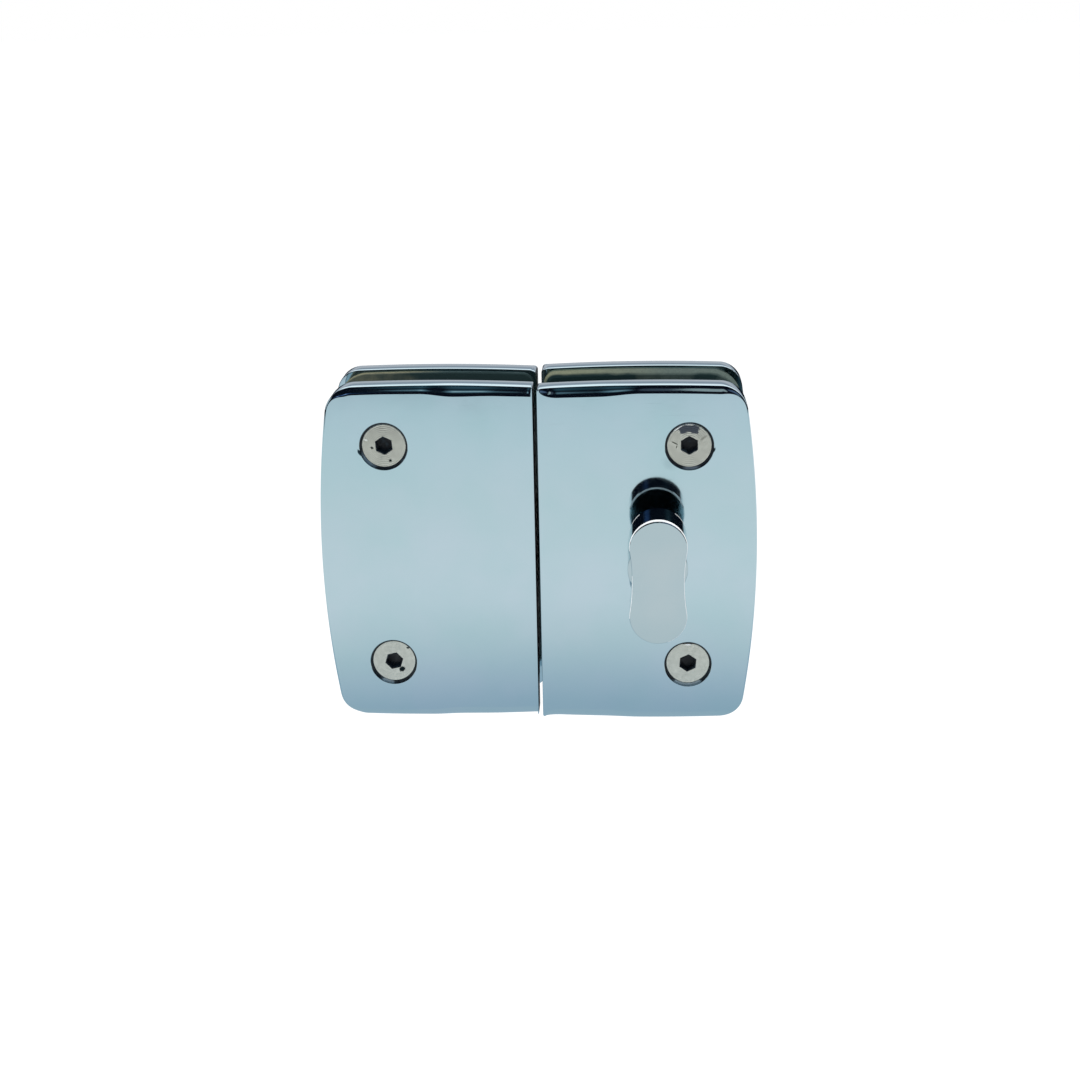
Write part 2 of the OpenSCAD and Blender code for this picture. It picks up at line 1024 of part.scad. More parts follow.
// Plain bush between two heights of a plate that lies on its inner face.
module bush(z0, z1)
{
    translate([knob_x, 0, z0])
    difference()
    {
        cylinder(d = bush_d, h = z1 - z0);
        translate([0, 0, -1])
        cylinder(d = journal_d + 2 * run_gap, h = z1 - z0 + 2);
    }
}

module knob_bush()
{
    color(nylon_c)
    stand()
    translate([0, 0, lock_slot / 2])
    bush(clip_pocket_t, plate_t);
}

module knob_grub_screw()
{
    color(dark_c)
    translate([knob_x, grub_y, -square / 2 - fixed_gap - grub_l])
    difference()
    {
        cylinder(d = grub_d, h = grub_l);
        translate([0, 0, -eps])
        cylinder(d = grub_hex / cos(30), h = grub_hex_t, $fn = 6);
    }
}

module release_turn()
{
    top = plate_t - release_sink;
    inner = journal_in;
    color(chrome_c)
    mirror([0, 1, 0])
    stand()
    translate([0, 0, lock_slot / 2])
    difference()
    {
        union()
        {
            translate([knob_x, 0, top - release_t])
            cylinder(d = release_d, h = release_t);
            translate([knob_x, 0, inner])
            cylinder(d = journal_d, h = top - inner - 1);
        }
        translate([knob_x, 0, clip_in - seat_gap])
        groove_cut();
        square_bar(square + run_gap, -1, top - release_t);
        translate([knob_x - coin_w / 2, -coin_l / 2, top - coin_t])
        cube([coin_w, coin_l, coin_t + 1]);
    }
}

module release_bush()
{
    color(nylon_c)
    mirror([0, 1, 0])
    stand()
    translate([0, 0, lock_slot / 2])
    bush(clip_pocket_t, plate_t - release_sink - release_t - release_gap);
}

module release_clip()
{
    color(dark_c)
    mirror([0, 1, 0])
    stand()
    translate([knob_x, 0, lock_slot / 2 + clip_in])
    clip();
}

keeper_front_plate();
keeper_back_plate();
keeper_front_gasket();
keeper_back_gasket();
keeper_block();
keeper_liner();
keeper_upper_screw();
keeper_lower_screw();
lock_front_plate();
lock_back_plate();
lock_front_gasket();
lock_back_gasket();
lock_case();
case_cover();
cover_screws();
lock_upper_screw();
lock_lower_screw();
dead_bolt();
drive_cam();
friction_washer();
spindle();
thumbturn_knob();
knob_bush();
knob_clip();
knob_grub_screw();
release_turn();
release_bush();
release_clip();
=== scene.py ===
"""Looks, floor, light and camera of the glass door lock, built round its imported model.

Sizes of the lock are in millimetres and turn to metres when a point is placed; those
of the studio are in metres. X runs along the door, Y from the thumbturn side to the
back, Z up.
"""

import json
import logging
import math
from dataclasses import dataclass, field
from enum import Enum

import bmesh
import bpy
from mathutils import Matrix, Vector
from mathutils.geometry import delaunay_2d_cdt


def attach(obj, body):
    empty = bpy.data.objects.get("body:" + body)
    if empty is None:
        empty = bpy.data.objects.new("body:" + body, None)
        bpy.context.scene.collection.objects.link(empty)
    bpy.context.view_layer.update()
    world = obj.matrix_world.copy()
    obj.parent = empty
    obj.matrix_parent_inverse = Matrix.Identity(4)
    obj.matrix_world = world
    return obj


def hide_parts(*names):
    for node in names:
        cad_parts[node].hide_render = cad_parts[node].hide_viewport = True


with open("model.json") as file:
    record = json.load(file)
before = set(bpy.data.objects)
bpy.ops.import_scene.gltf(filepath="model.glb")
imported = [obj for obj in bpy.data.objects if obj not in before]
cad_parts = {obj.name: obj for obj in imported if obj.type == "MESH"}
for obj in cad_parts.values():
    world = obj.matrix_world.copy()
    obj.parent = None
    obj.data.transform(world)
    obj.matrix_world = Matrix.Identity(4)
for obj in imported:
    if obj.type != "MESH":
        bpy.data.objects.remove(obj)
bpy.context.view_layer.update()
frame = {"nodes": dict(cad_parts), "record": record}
log = logging.getLogger("glass_door_lock")

CORNER_NORMAL = "corner_normal"
MM = 0.001
PLATE_T = 8.0
SLOT_WIDTHS = (14.0, 17.4)
SCREW_X = 41.0
SCREW_Z = 31.1
KNOB_X = 32.5
# Corners of a turned profile that bend by less than this many degrees run smoothly.
SOFT_TURN = 50.0
# Points of a flat face that lie closer than this count as one, in millimetres.
SAME_SPOT = 1e-7
# Marks have frayed outlines: the size of the fraying, its depth, and how far out the
# outline then lies, the last two in half sizes of the mark.
FRAY_MM = 0.8
FRAY_DEPTH = 0.9
FRAY_EDGE = 1.45


class Half(Enum):
    """The half that a piece belongs to, by its side of the seam.

    A size that differs between the halves is written as a pair, the keeper's first.
    """

    KEEPER = -1
    LOCK = 1

    def pick(self, pair: tuple[float, float]) -> float:
        """Returns this half's size from a pair."""
        return pair[0] if self is Half.KEEPER else pair[1]

    @property
    def slot(self) -> float:
        """Width of the glass slot of this half."""
        return self.pick(SLOT_WIDTHS)


class Cover(Enum):
    """The cover plate of a half, by the side of the glass that it lies on."""

    FRONT = -1
    BACK = 1


class EdgeForm(Enum):
    """How the edges of a slab are finished."""

    ROUND = "polished round"
    BEVEL = "flat bevel"


class EdgeRow(Enum):
    """The rows of faces on a bevelled edge, from the lower face to the upper one."""

    BACK_BEVEL = 0
    BACK_STRIP = 1
    WALL = 2
    FRONT_BEVEL = 3
    FRONT_LIP = 4


@dataclass(frozen=True)
class Seat:
    """A place in the part's frame: an origin in millimetres and three directions."""

    origin: Vector
    across: Vector
    along: Vector
    out: Vector

    @classmethod
    def upright(cls, origin: tuple[float, float, float], side: int, face: int) -> "Seat":
        """Makes a seat whose along direction points up.

        Args:
            origin: The seat's origin in millimetres.
            side: 1 where across runs along X, -1 where it runs against it.
            face: 1 where the seat faces the back, -1 where it faces the front.

        Returns:
            The seat.
        """
        return cls(Vector(origin), Vector((side, 0, 0)), Vector((0, 0, 1)), Vector((0, face, 0)))

    def at(self, u: float, v: float, h: float) -> Vector:
        """Returns the point in metres at u across, v along and h outwards."""
        spot = self.origin + u * self.across + v * self.along + h * self.out
        return spot * MM

    def way(self, u: float, v: float, h: float) -> Vector:
        """Returns the direction with these three shares."""
        return (u * self.across + v * self.along + h * self.out).normalized()


@dataclass(frozen=True)
class Station:
    """One point of an outline in its plan, with the outline's normal there."""

    u: float
    v: float
    nu: float
    nv: float

    def inset(self, depth: float) -> tuple[float, float]:
        """Returns the point that lies this far inside the outline."""
        return self.u - self.nu * depth, self.v - self.nv * depth


def arc(
    centre: tuple[float, float],
    radius: float,
    start: float,
    end: float,
    steps: int,
    hollow: bool = False,
) -> list[Station]:
    """Lays stations along an arc.

    Args:
        centre: The arc's centre.
        radius: Its radius.
        start: Angle of the first station in degrees.
        end: Angle of the last station in degrees.
        steps: Number of steps between them.
        hollow: True where the piece lies outside the arc.

    Returns:
        The stations, both ends included.
    """
    sign = -1 if hollow else 1
    stations = []
    for i in range(steps + 1):
        turn = math.radians(start + (end - start) * i / steps)
        c, s = math.cos(turn), math.sin(turn)
        u, v = centre[0] + radius * c, centre[1] + radius * s
        stations.append(Station(u, v, sign * c, sign * s))
    return stations


def turn_to(centre: tuple[float, float], spot: tuple[float, float]) -> float:
    """Returns the direction from a centre to a spot in degrees."""
    return math.degrees(math.atan2(spot[1] - centre[1], spot[0] - centre[0]))


@dataclass
class Skin:
    """A welded mesh in the making, whose face corners carry exact normals.

    Each face takes the number of the finish that is set while it is laid.
    """

    points: list[Vector] = field(default_factory=list)
    faces: list[tuple[int, ...]] = field(default_factory=list)
    normals: list[dict[int, Vector]] = field(default_factory=list)
    finishes: list[int] = field(default_factory=list)
    finish: int = 0

    def ring(self, points: list[Vector]) -> list[int]:
        """Adds a ring of points.

        Args:
            points: The points in metres.

        Returns:
            Their numbers in the mesh.
        """
        first = len(self.points)
        self.points.extend(points)
        return list(range(first, len(self.points)))

    def face(self, corners: tuple[int, ...], normals: dict[int, Vector]) -> None:
        """Adds one face in the finish that is set.

        Args:
            corners: The numbers of its points.
            normals: The normal at each of them.
        """
        self.faces.append(corners)
        self.normals.append(normals)
        self.finishes.append(self.finish)

    def band(
        self,
        low: list[int],
        high: list[int],
        low_normals: list[Vector],
        high_normals: list[Vector],
    ) -> None:
        """Closes the ground between two rings of the same length with quads.

        Args:
            low: The first ring.
            high: The second ring.
            low_normals: The normals at the first ring.
            high_normals: The normals at the second ring.
        """
        count = len(low)
        for i in range(count):
            j = (i + 1) % count
            corners = (low[i], low[j], high[j], high[i])
            picked = (low_normals[i], low_normals[j], high_normals[j], high_normals[i])
            self.face(corners, dict(zip(corners, picked)))

    def flat(
        self,
        seat: Seat,
        normal: Vector,
        outer: list[int],
        holes: list[list[int]],
    ) -> None:
        """Fills a flat face between its outer ring and the rings of its holes.

        Args:
            seat: The seat whose across and along directions span the face.
            normal: The face's normal.
            outer: The outer ring.
            holes: The rings that stay open.
        """
        rings = [outer] + holes
        numbers = [n for ring in rings for n in ring]
        plan = [self.plan_of(seat, n) for n in numbers]
        edges = []
        start = 0
        for ring in rings:
            count = len(ring)
            edges += [(start + i, start + (i + 1) % count) for i in range(count)]
            start += count
        spots, _, triangles, origins, _, _ = delaunay_2d_cdt(plan, edges, [], 0, SAME_SPOT)
        outline = plan[: len(outer)]
        open_rings = []
        start = len(outer)
        for ring in holes:
            open_rings.append(plan[start : start + len(ring)])
            start += len(ring)
        for triangle in triangles:
            middle = sum((spots[k] for k in triangle), Vector((0, 0))) / 3
            if not encloses(outline, middle):
                continue
            if any(encloses(ring, middle) for ring in open_rings):
                continue
            corners = tuple(numbers[origins[k][0]] for k in triangle)
            self.face(corners, {n: normal for n in corners})

    def plan_of(self, seat: Seat, number: int) -> Vector:
        """Returns a point's place in the seat's plan, in millimetres."""
        offset = self.points[number] / MM - seat.origin
        return Vector((offset.dot(seat.across), offset.dot(seat.along)))

    def turned(
        self,
        seat: Seat,
        centre: tuple[float, float],
        profile: list[tuple[float, float]],
        steps: int = 96,
        before: tuple[float, float] | None = None,
        shaded_from: int | None = None,
    ) -> tuple[list[int], list[int]]:
        """Turns a profile round an axis that stands on the seat's plan.

        Corners of the profile that bend by little run smoothly, and the longer side
        sets the normal there, as polishing leaves it.

        Args:
            seat: The seat that the axis stands on.
            centre: Where it stands.
            profile: Points of radius and height. A radius of nothing closes the end.
            steps: Facets round the axis.
            before: A point before the first one that sets the normal there.
            shaded_from: The side from which on the second finish, the painted shade, holds.

        Returns:
            The first and the last ring.
        """
        lead = [before] if before else []
        sides = profile_normals(lead + profile)[len(lead) :]
        turns = [2 * math.pi * i / steps for i in range(steps)]
        circle = [(math.cos(turn), math.sin(turn)) for turn in turns]
        u, v = centre
        rings: list[list[int]] = []
        for radius, height in profile:
            around = circle if radius > 0 else [(0.0, 0.0)]
            spots = [seat.at(u + radius * c, v + radius * s, height) for c, s in around]
            rings.append(self.ring(spots))
        for i in range(len(rings) - 1):
            self.finish = int(shaded_from is not None and i >= shaded_from)
            (start_r, start_h), (end_r, end_h) = sides[i]
            start_normals = [seat.way(start_r * c, start_r * s, start_h) for c, s in circle]
            end_normals = [seat.way(end_r * c, end_r * s, end_h) for c, s in circle]
            if len(rings[i]) == 1:
                self.fan(rings[i + 1], rings[i][0], end_normals, seat.out)
            elif len(rings[i + 1]) == 1:
                self.fan(rings[i], rings[i + 1][0], start_normals, seat.out)
            else:
                self.band(rings[i], rings[i + 1], start_normals, end_normals)
        self.finish = 0
        return rings[0], rings[-1]

    def fan(self, ring: list[int], tip: int, normals: list[Vector], tip_normal: Vector) -> None:
        """Closes a ring with triangles to one point.

        Args:
            ring: The ring.
            tip: The number of the point.
            normals: The normals at the ring.
            tip_normal: The normal at the point.
        """
        count = len(ring)
        for i in range(count):
            j = (i + 1) % count
            corners = (ring[i], ring[j], tip)
            self.face(corners, dict(zip(corners, (normals[i], normals[j], tip_normal))))

    def build(self, name: str) -> bpy.types.Object:
        """Makes the mesh object, with every face turned outwards.

        Args:
            name: The piece's name.

        Returns:
            The object, linked to the scene.
        """
        mesh = bpy.data.meshes.new(name)
        mesh.from_pydata([p[:] for p in self.points], [], self.faces)
        form = bmesh.new()
        form.from_mesh(mesh)
        bmesh.ops.recalc_face_normals(form, faces=form.faces)
        form.to_mesh(mesh)
        form.free()
        kept = mesh.attributes.new(CORNER_NORMAL, "FLOAT_VECTOR", "CORNER")
        corner = 0
        for polygon, normals in zip(mesh.polygons, self.normals):
            for number in polygon.vertices:
                kept.data[corner].vector = normals[number]
                corner += 1
        mesh.polygons.foreach_set("material_index", self.finishes)
        piece = bpy.data.objects.new(name, mesh)
        bpy.context.scene.collection.objects.link(piece)
        set_normals(mesh)
        return piece


def set_normals(mesh: bpy.types.Mesh) -> None:
    """Shades a mesh by the normals kept at its corners, each turned outwards.

    Args:
        mesh: The mesh, with the corner normals as an attribute.
    """
    mesh.polygons.foreach_set("use_smooth", [True] * len(mesh.polygons))
    kept = mesh.attributes[CORNER_NORMAL].data
    shading = []
    for polygon in mesh.polygons:
        for corner in polygon.loop_indices:
            normal = Vector(kept[corner].vector).normalized()
            outward = normal.dot(polygon.normal) >= 0
            shading.append(tuple(normal if outward else -normal))
    mesh.normals_split_custom_set(shading)


def combine(piece: bpy.types.Object, other: bpy.types.Object, operation: str) -> None:
    """Joins another solid to a piece or cuts it out, and removes the other one.

    Args:
        piece: The piece that changes.
        other: The other solid.
        operation: UNION or DIFFERENCE.
    """
    step = piece.modifiers.new(operation, "BOOLEAN")
    step.object = other
    step.operation = operation
    step.solver = "EXACT"
    graph = bpy.context.evaluated_depsgraph_get()
    made = bpy.data.meshes.new_from_object(piece.evaluated_get(graph), depsgraph=graph)
    piece.modifiers.clear()
    piece.data = made
    bpy.data.objects.remove(other)
    set_normals(made)


def profile_normals(
    points: list[tuple[float, float]],
) -> list[tuple[tuple[float, float], tuple[float, float]]]:
    """Finds the normals at both ends of each side of a turned profile.

    Args:
        points: The profile's points of radius and height.

    Returns:
        For each side, the normal at its start and at its end as radial and axial shares.
    """
    soft = math.cos(math.radians(SOFT_TURN))
    sides = []
    for (r0, h0), (r1, h1) in zip(points, points[1:]):
        length = math.hypot(r1 - r0, h1 - h0)
        sides.append(((h1 - h0) / length, (r0 - r1) / length, length))
    normals = []
    for i, (nr, nh, length) in enumerate(sides):
        ends = []
        for other in (sides[i - 1] if i else None, sides[i + 1] if i + 1 < len(sides) else None):
            blended = (nr, nh)
            if other and nr * other[0] + nh * other[1] > soft:
                own, far = length**2, other[2] ** 2
                blended = (nr * own + other[0] * far, nh * own + other[1] * far)
            ends.append(blended)
        normals.append((ends[0], ends[1]))
    return normals


def encloses(ring: list[Vector], spot: Vector) -> bool:
    """Tells whether a plan point lies inside a ring of plan points.

    Args:
        ring: The ring's points in order.
        spot: The plan point.

    Returns:
        True where it lies inside.
    """
    inside = False
    for a, b in zip(ring, ring[1:] + ring[:1]):
        if (a.y > spot.y) != (b.y > spot.y):
            if spot.x < a.x + (b.x - a.x) * (spot.y - a.y) / (b.y - a.y):
                inside = not inside
    return inside


@dataclass
class Slab:
    """A plate with worked edges round any outline.

    The lower edge lies at height 0 and the upper one at the slab's thickness. The lower
    edge has an inset and a height of its own, and the upper one a reach for each station.
    """

    seat: Seat
    outline: list[Station]
    thickness: float
    low_inset: float
    low_height: float
    high_reach: list[float]
    form: EdgeForm = EdgeForm.ROUND
    low_steps: int = 8
    high_steps: int = 14
    # Buffing leaves the wall slightly crowned: its tilt in degrees at both ends.
    crown: tuple[float, float] = (3.0, 4.0)
    strip: float = 0.3
    # A flat bevel is cut in two steps: their tilts in degrees, and the place where they
    # meet, inwards and down from the upper face, in shares of the reach.
    cuts: tuple[float, float] = (38.0, 56.0)
    cuts_meet: tuple[float, float] = (0.55, 0.3)

    def rows(self) -> list[tuple[float, float, list[tuple[float, float]]]]:
        """Lays out the rows of the edge from the lower face to the upper one.

        Returns:
            For each row, the tilt in radians on the side below it and on the side above
            it, and the inset and the height at each station.
        """
        count = len(self.outline)
        if self.form is EdgeForm.BEVEL:
            quarter, top = math.pi / 2, self.thickness
            low = math.atan2(self.low_inset, self.low_height)
            steep, shallow = (math.radians(angle) for angle in self.cuts)
            inwards, down = self.cuts_meet
            return [
                (-quarter, -low, [(self.low_inset, 0.0)] * count),
                (-low, 0.0, [(0.0, self.low_height)] * count),
                (0.0, 0.0, [(0.0, self.low_height + self.strip)] * count),
                (0.0, steep, [(0.0, top - r) for r in self.high_reach]),
                (steep, shallow, [(inwards * r, top - down * r) for r in self.high_reach]),
                (shallow, quarter, [(r, top) for r in self.high_reach]),
            ]
        low_crown, high_crown = (math.radians(angle) for angle in self.crown)
        laid = []
        for k in range(self.low_steps + 1):
            sweep = math.radians(-90 + 90 * k / self.low_steps)
            inset = self.low_inset * (1 - math.cos(sweep))
            height = self.low_height * (1 + math.sin(sweep))
            tilt = math.atan2(math.sin(sweep) * self.low_inset, math.cos(sweep) * self.low_height)
            tilt = min(tilt, -low_crown)
            laid.append((tilt, tilt, [(inset, height)] * count))
        for k in range(self.high_steps + 1):
            tilt = high_crown + (math.pi / 2 - high_crown) * k / self.high_steps
            row = [
                (r * (1 - math.cos(tilt)), self.thickness - r * (1 - math.sin(tilt)))
                for r in self.high_reach
            ]
            laid.append((tilt, tilt, row))
        return laid

    def wrap(self, skin: Skin) -> tuple[list[int], list[int]]:
        """Lays the skin of the rim.

        Args:
            skin: The skin to add it to.

        Returns:
            The ring of the lower face and the ring of the upper face.
        """
        rings, below, above = [], [], []
        for tilt_below, tilt_above, row in self.rows():
            spots = [
                self.seat.at(*station.inset(inset), height)
                for station, (inset, height) in zip(self.outline, row)
            ]
            rings.append(skin.ring(spots))
            below.append(self.row_normals(tilt_below, spots))
            above.append(self.row_normals(tilt_above, spots))
        for i in range(len(rings) - 1):
            skin.band(rings[i], rings[i + 1], above[i], below[i + 1])
        return rings[0], rings[-1]

    def row_normals(self, tilt: float, spots: list[Vector]) -> list[Vector]:
        """Finds the normals along one row from its run and its tilt.

        Args:
            tilt: Tilt of the edge in radians, nothing on the wall.
            spots: The row's points.

        Returns:
            One normal for each point.
        """
        count = len(spots)
        found = []
        for i, station in enumerate(self.outline):
            run = spots[(i + 1) % count] - spots[i - 1]
            c, s = math.cos(tilt), math.sin(tilt)
            rise = self.seat.way(-station.nu * s, -station.nv * s, c)
            plain = self.seat.way(station.nu * c, station.nv * c, s)
            normal = run.cross(rise).normalized()
            found.append(normal if normal.dot(plain) > 0 else -normal)
        return found


def linear(hex_color: str) -> tuple[float, float, float, float]:
    """Turns an sRGB hex colour into the linear colour that the shaders take.

    Args:
        hex_color: A hash and six hex digits.

    Returns:
        The linear red, green and blue, and a full alpha.
    """
    channels = [int(hex_color[i : i + 2], 16) / 255 for i in (1, 3, 5)]
    low = [c / 12.92 if c <= 0.04045 else ((c + 0.055) / 1.055) ** 2.4 for c in channels]
    return (low[0], low[1], low[2], 1.0)


def add_node(
    tree: bpy.types.NodeTree,
    kind: str,
    inputs: dict | None = None,
    **settings: object,
) -> bpy.types.Node:
    """Adds one node to a tree.

    Args:
        tree: The node tree.
        kind: The node's type name, after the ShaderNode that each begins with.
        inputs: For each input, by name or number, a value or the socket that feeds it.
        settings: The node's own settings.

    Returns:
        The node.
    """
    node = tree.nodes.new("ShaderNode" + kind)
    for key, value in settings.items():
        setattr(node, key, value)
    for key, value in (inputs or {}).items():
        if isinstance(value, bpy.types.NodeSocket):
            tree.links.new(value, node.inputs[key])
        else:
            node.inputs[key].default_value = value
    return node


def per_metre(size_mm: float) -> float:
    """Returns the pattern scale whose repeat is this many millimetres."""
    return 1 / (size_mm * MM)


@dataclass(frozen=True)
class Mark:
    """A speck, chip, smear, painted highlight or painted shade that one place of the lock
    carries.

    Its centre and half sizes are in millimetres, its tilt in degrees and the softness of
    its edge in half sizes. The share says how far it covers the finish.
    """

    centre: tuple[float, float, float]
    half: tuple[float, float]
    color: str
    tilt: float = 0.0
    soft: float = 0.35
    share: float = 1.0


@dataclass(frozen=True)
class Finish:
    """What every finish states: its name, colour, the shader's main values and marks."""

    name: str
    color: str
    metallic: float
    roughness: float
    marks: tuple[Mark, ...] = ()

    def material(self) -> bpy.types.Material:
        """Builds the material, with the pattern that the finish adds.

        Returns:
            The material.
        """
        made = bpy.data.materials.new(self.name)
        made.use_nodes = True
        tree = made.node_tree
        shader = tree.nodes["Principled BSDF"]
        shader.inputs["Base Color"].default_value = linear(self.color)
        shader.inputs["Metallic"].default_value = self.metallic
        shader.inputs["Roughness"].default_value = self.roughness
        place = add_node(tree, "TexCoord").outputs["Object"]
        self.pattern(tree, shader, place)
        return made

    def pattern(
        self,
        tree: bpy.types.NodeTree,
        shader: bpy.types.Node,
        place: bpy.types.NodeSocket,
    ) -> None:
        """Adds the detail that each finish has of its own.

        Args:
            tree: The material's node tree.
            shader: Its shader.
            place: The place on the lock, in metres.
        """
        raise NotImplementedError

    def marked(
        self,
        tree: bpy.types.NodeTree,
        place: bpy.types.NodeSocket,
        color: bpy.types.NodeSocket,
    ) -> bpy.types.NodeSocket:
        """Lays the finish's marks over a colour.

        Args:
            tree: The node tree.
            place: The place on the lock, in metres.
            color: The colour below the marks.

        Returns:
            The colour with the marks.
        """
        frayed = add_node(tree, "TexNoise", {
            "Vector": place, "Scale": per_metre(FRAY_MM), "Detail": 2.0,
        })
        for mark in self.marks:
            near = add_node(tree, "Mapping", {
                "Vector": place, "Location": [value * MM for value in mark.centre],
                "Rotation": (0.0, math.radians(mark.tilt), 0.0),
                "Scale": (mark.half[0] * MM, MM, mark.half[1] * MM),
            }, vector_type="TEXTURE")
            away = add_node(tree, "VectorMath", {0: near.outputs["Vector"]}, operation="LENGTH")
            edge = add_node(tree, "Math", {
                0: frayed.outputs["Fac"], 1: FRAY_DEPTH, 2: away.outputs["Value"],
            }, operation="MULTIPLY_ADD")
            cover = add_node(tree, "MapRange", {
                "Value": edge.outputs["Value"], "From Min": FRAY_EDGE - mark.soft,
                "From Max": FRAY_EDGE + mark.soft, "To Min": mark.share, "To Max": 0.0,
            })
            mixed = add_node(tree, "Mix", {
                "Factor": cover.outputs["Result"], 6: color, 7: linear(mark.color),
            }, data_type="RGBA")
            color = mixed.outputs[2]
        return color


@dataclass(frozen=True)
class PolishedChrome(Finish):
    """Bright chrome plate on buffed brass: a cool mirror with a faint polishing wave,
    a thin veil of handling marks, hairlines from wiping, a nick at two screws, and painted
    shade on the back plates' inner rolls in the slot."""

    name: str = "polished_chrome_plate"
    color: str = "#B8CCD6"
    metallic: float = 1.0
    roughness: float = 0.045
    wave_mm: float = 15.0
    wave_height_mm: float = 0.010
    cloud_mm: float = 20.0
    cloud_color: str = "#B2CBD3"
    veil_mm: float = 22.0
    veil_roughness: float = 0.10
    hairline_mm: float = 0.35
    hairline_length_mm: float = 14.0
    hairline_turn: float = 28.0
    hairline_roughness: float = 0.05
    # Where each pattern fades in, as values of its noise.
    cloud_span: tuple[float, float] = (0.35, 0.65)
    veil_span: tuple[float, float] = (0.42, 0.75)
    hairline_span: tuple[float, float] = (0.68, 0.75)
    marks: tuple[Mark, ...] = (
        Mark((-47.55, -15.0, 29.4), (0.35, 0.9), "#22333C", tilt=-25, soft=0.2),
        Mark((47.45, -16.7, 30.0), (0.3, 0.8), "#22333C", tilt=25, soft=0.2),
        # Painted shade on the back plates' inner rolls: at the seam's upper end and at the lock
        # half's far end.
        Mark((1.0, 8.1, 45.6), (1.6, 5.0), "#101D1E", soft=0.1, share=0.95),
        Mark((56.0, 8.1, 42.0), (7.0, 9.0), "#16343E", soft=0.12, share=0.95),
        Mark((35.6, -16.7, 26.4), (1.7, 1.3), "#9DB4BC", tilt=35, soft=0.6, share=0.5),
    )

    def pattern(
        self,
        tree: bpy.types.NodeTree,
        shader: bpy.types.Node,
        place: bpy.types.NodeSocket,
    ) -> None:
        """Adds the buffing wave, the clouded tone, the nicks, the veil and the hairlines.

        Args:
            tree: The material's node tree.
            shader: Its shader.
            place: The place on the lock, in metres.
        """
        wave = add_node(tree, "TexNoise", {
            "Vector": place, "Scale": per_metre(self.wave_mm), "Detail": 2.0, "Roughness": 0.4,
        })
        relief = add_node(tree, "Bump", {
            "Height": wave.outputs["Fac"], "Distance": self.wave_height_mm * MM,
        })
        tree.links.new(relief.outputs["Normal"], shader.inputs["Normal"])
        cloud = add_node(tree, "TexNoise", {
            "Vector": place, "Scale": per_metre(self.cloud_mm), "Detail": 3.0,
        })
        share = add_node(tree, "MapRange", {
            "Value": cloud.outputs["Fac"], "From Min": self.cloud_span[0],
            "From Max": self.cloud_span[1],
        })
        tone = add_node(tree, "Mix", {
            "Factor": share.outputs["Result"], 6: linear(self.color),
            7: linear(self.cloud_color),
        }, data_type="RGBA")
        marked = self.marked(tree, place, tone.outputs[2])
        tree.links.new(marked, shader.inputs["Base Color"])
        veil = add_node(tree, "TexNoise", {
            "Vector": place, "Scale": per_metre(self.veil_mm), "Detail": 6.0, "Roughness": 0.65,
        })
        dull = add_node(tree, "MapRange", {
            "Value": veil.outputs["Fac"], "From Min": self.veil_span[0],
            "From Max": self.veil_span[1], "To Min": self.roughness,
            "To Max": self.veil_roughness,
        })
        # Wiping leaves fine scratches one way; they are drawn wider than the real ones,
        # which are too fine to show.
        lengthwise, crosswise = per_metre(self.hairline_length_mm), per_metre(self.hairline_mm)
        wiped = add_node(tree, "Mapping", {
            "Vector": place, "Rotation": (0.0, math.radians(self.hairline_turn), 0.0),
            "Scale": (lengthwise, lengthwise, crosswise),
        }, vector_type="POINT")
        lines = add_node(tree, "TexNoise", {
            "Vector": wiped.outputs["Vector"], "Scale": 1.0, "Detail": 1.0,
        })
        scratch = add_node(tree, "MapRange", {
            "Value": lines.outputs["Fac"], "From Min": self.hairline_span[0],
            "From Max": self.hairline_span[1], "To Max": self.hairline_roughness,
        })
        rough = add_node(tree, "Math", {
            0: dull.outputs["Result"], 1: scratch.outputs["Result"],
        }, operation="ADD")
        tree.links.new(rough.outputs["Value"], shader.inputs["Roughness"])


@dataclass(frozen=True)
class PaintedHighlight(Finish):
    """Painted highlight on the thumbturn's narrow bevels: a near-white matt finish that the
    plain light makes bright from every side, so they read as bright lines round the mirror
    of the head."""

    name: str = "painted_highlight_edge"
    color: str = "#F2F6F8"
    metallic: float = 0.0
    roughness: float = 0.3
    mottle_mm: float = 3.0
    mottle_span: tuple[float, float] = (0.35, 0.6)
    mottle_share: float = 0.85

    def pattern(
        self,
        tree: bpy.types.NodeTree,
        shader: bpy.types.Node,
        place: bpy.types.NodeSocket,
    ) -> None:
        """Makes the painted highlight uneven.

        Args:
            tree: The material's node tree.
            shader: Its shader.
            place: The place on the lock, in metres.
        """
        highlighted = add_node(tree, "TexNoise", {
            "Vector": place, "Scale": per_metre(self.mottle_mm), "Detail": 3.0,
        })
        tone = add_node(tree, "MapRange", {
            "Value": highlighted.outputs["Fac"], "From Min": self.mottle_span[0],
            "From Max": self.mottle_span[1], "To Min": self.mottle_share,
        })
        mixed = add_node(tree, "Mix", {
            "Factor": 1.0, 6: linear(self.color), 7: tone.outputs["Result"],
        }, data_type="RGBA", blend_type="MULTIPLY")
        tree.links.new(mixed.outputs[2], shader.inputs["Base Color"])


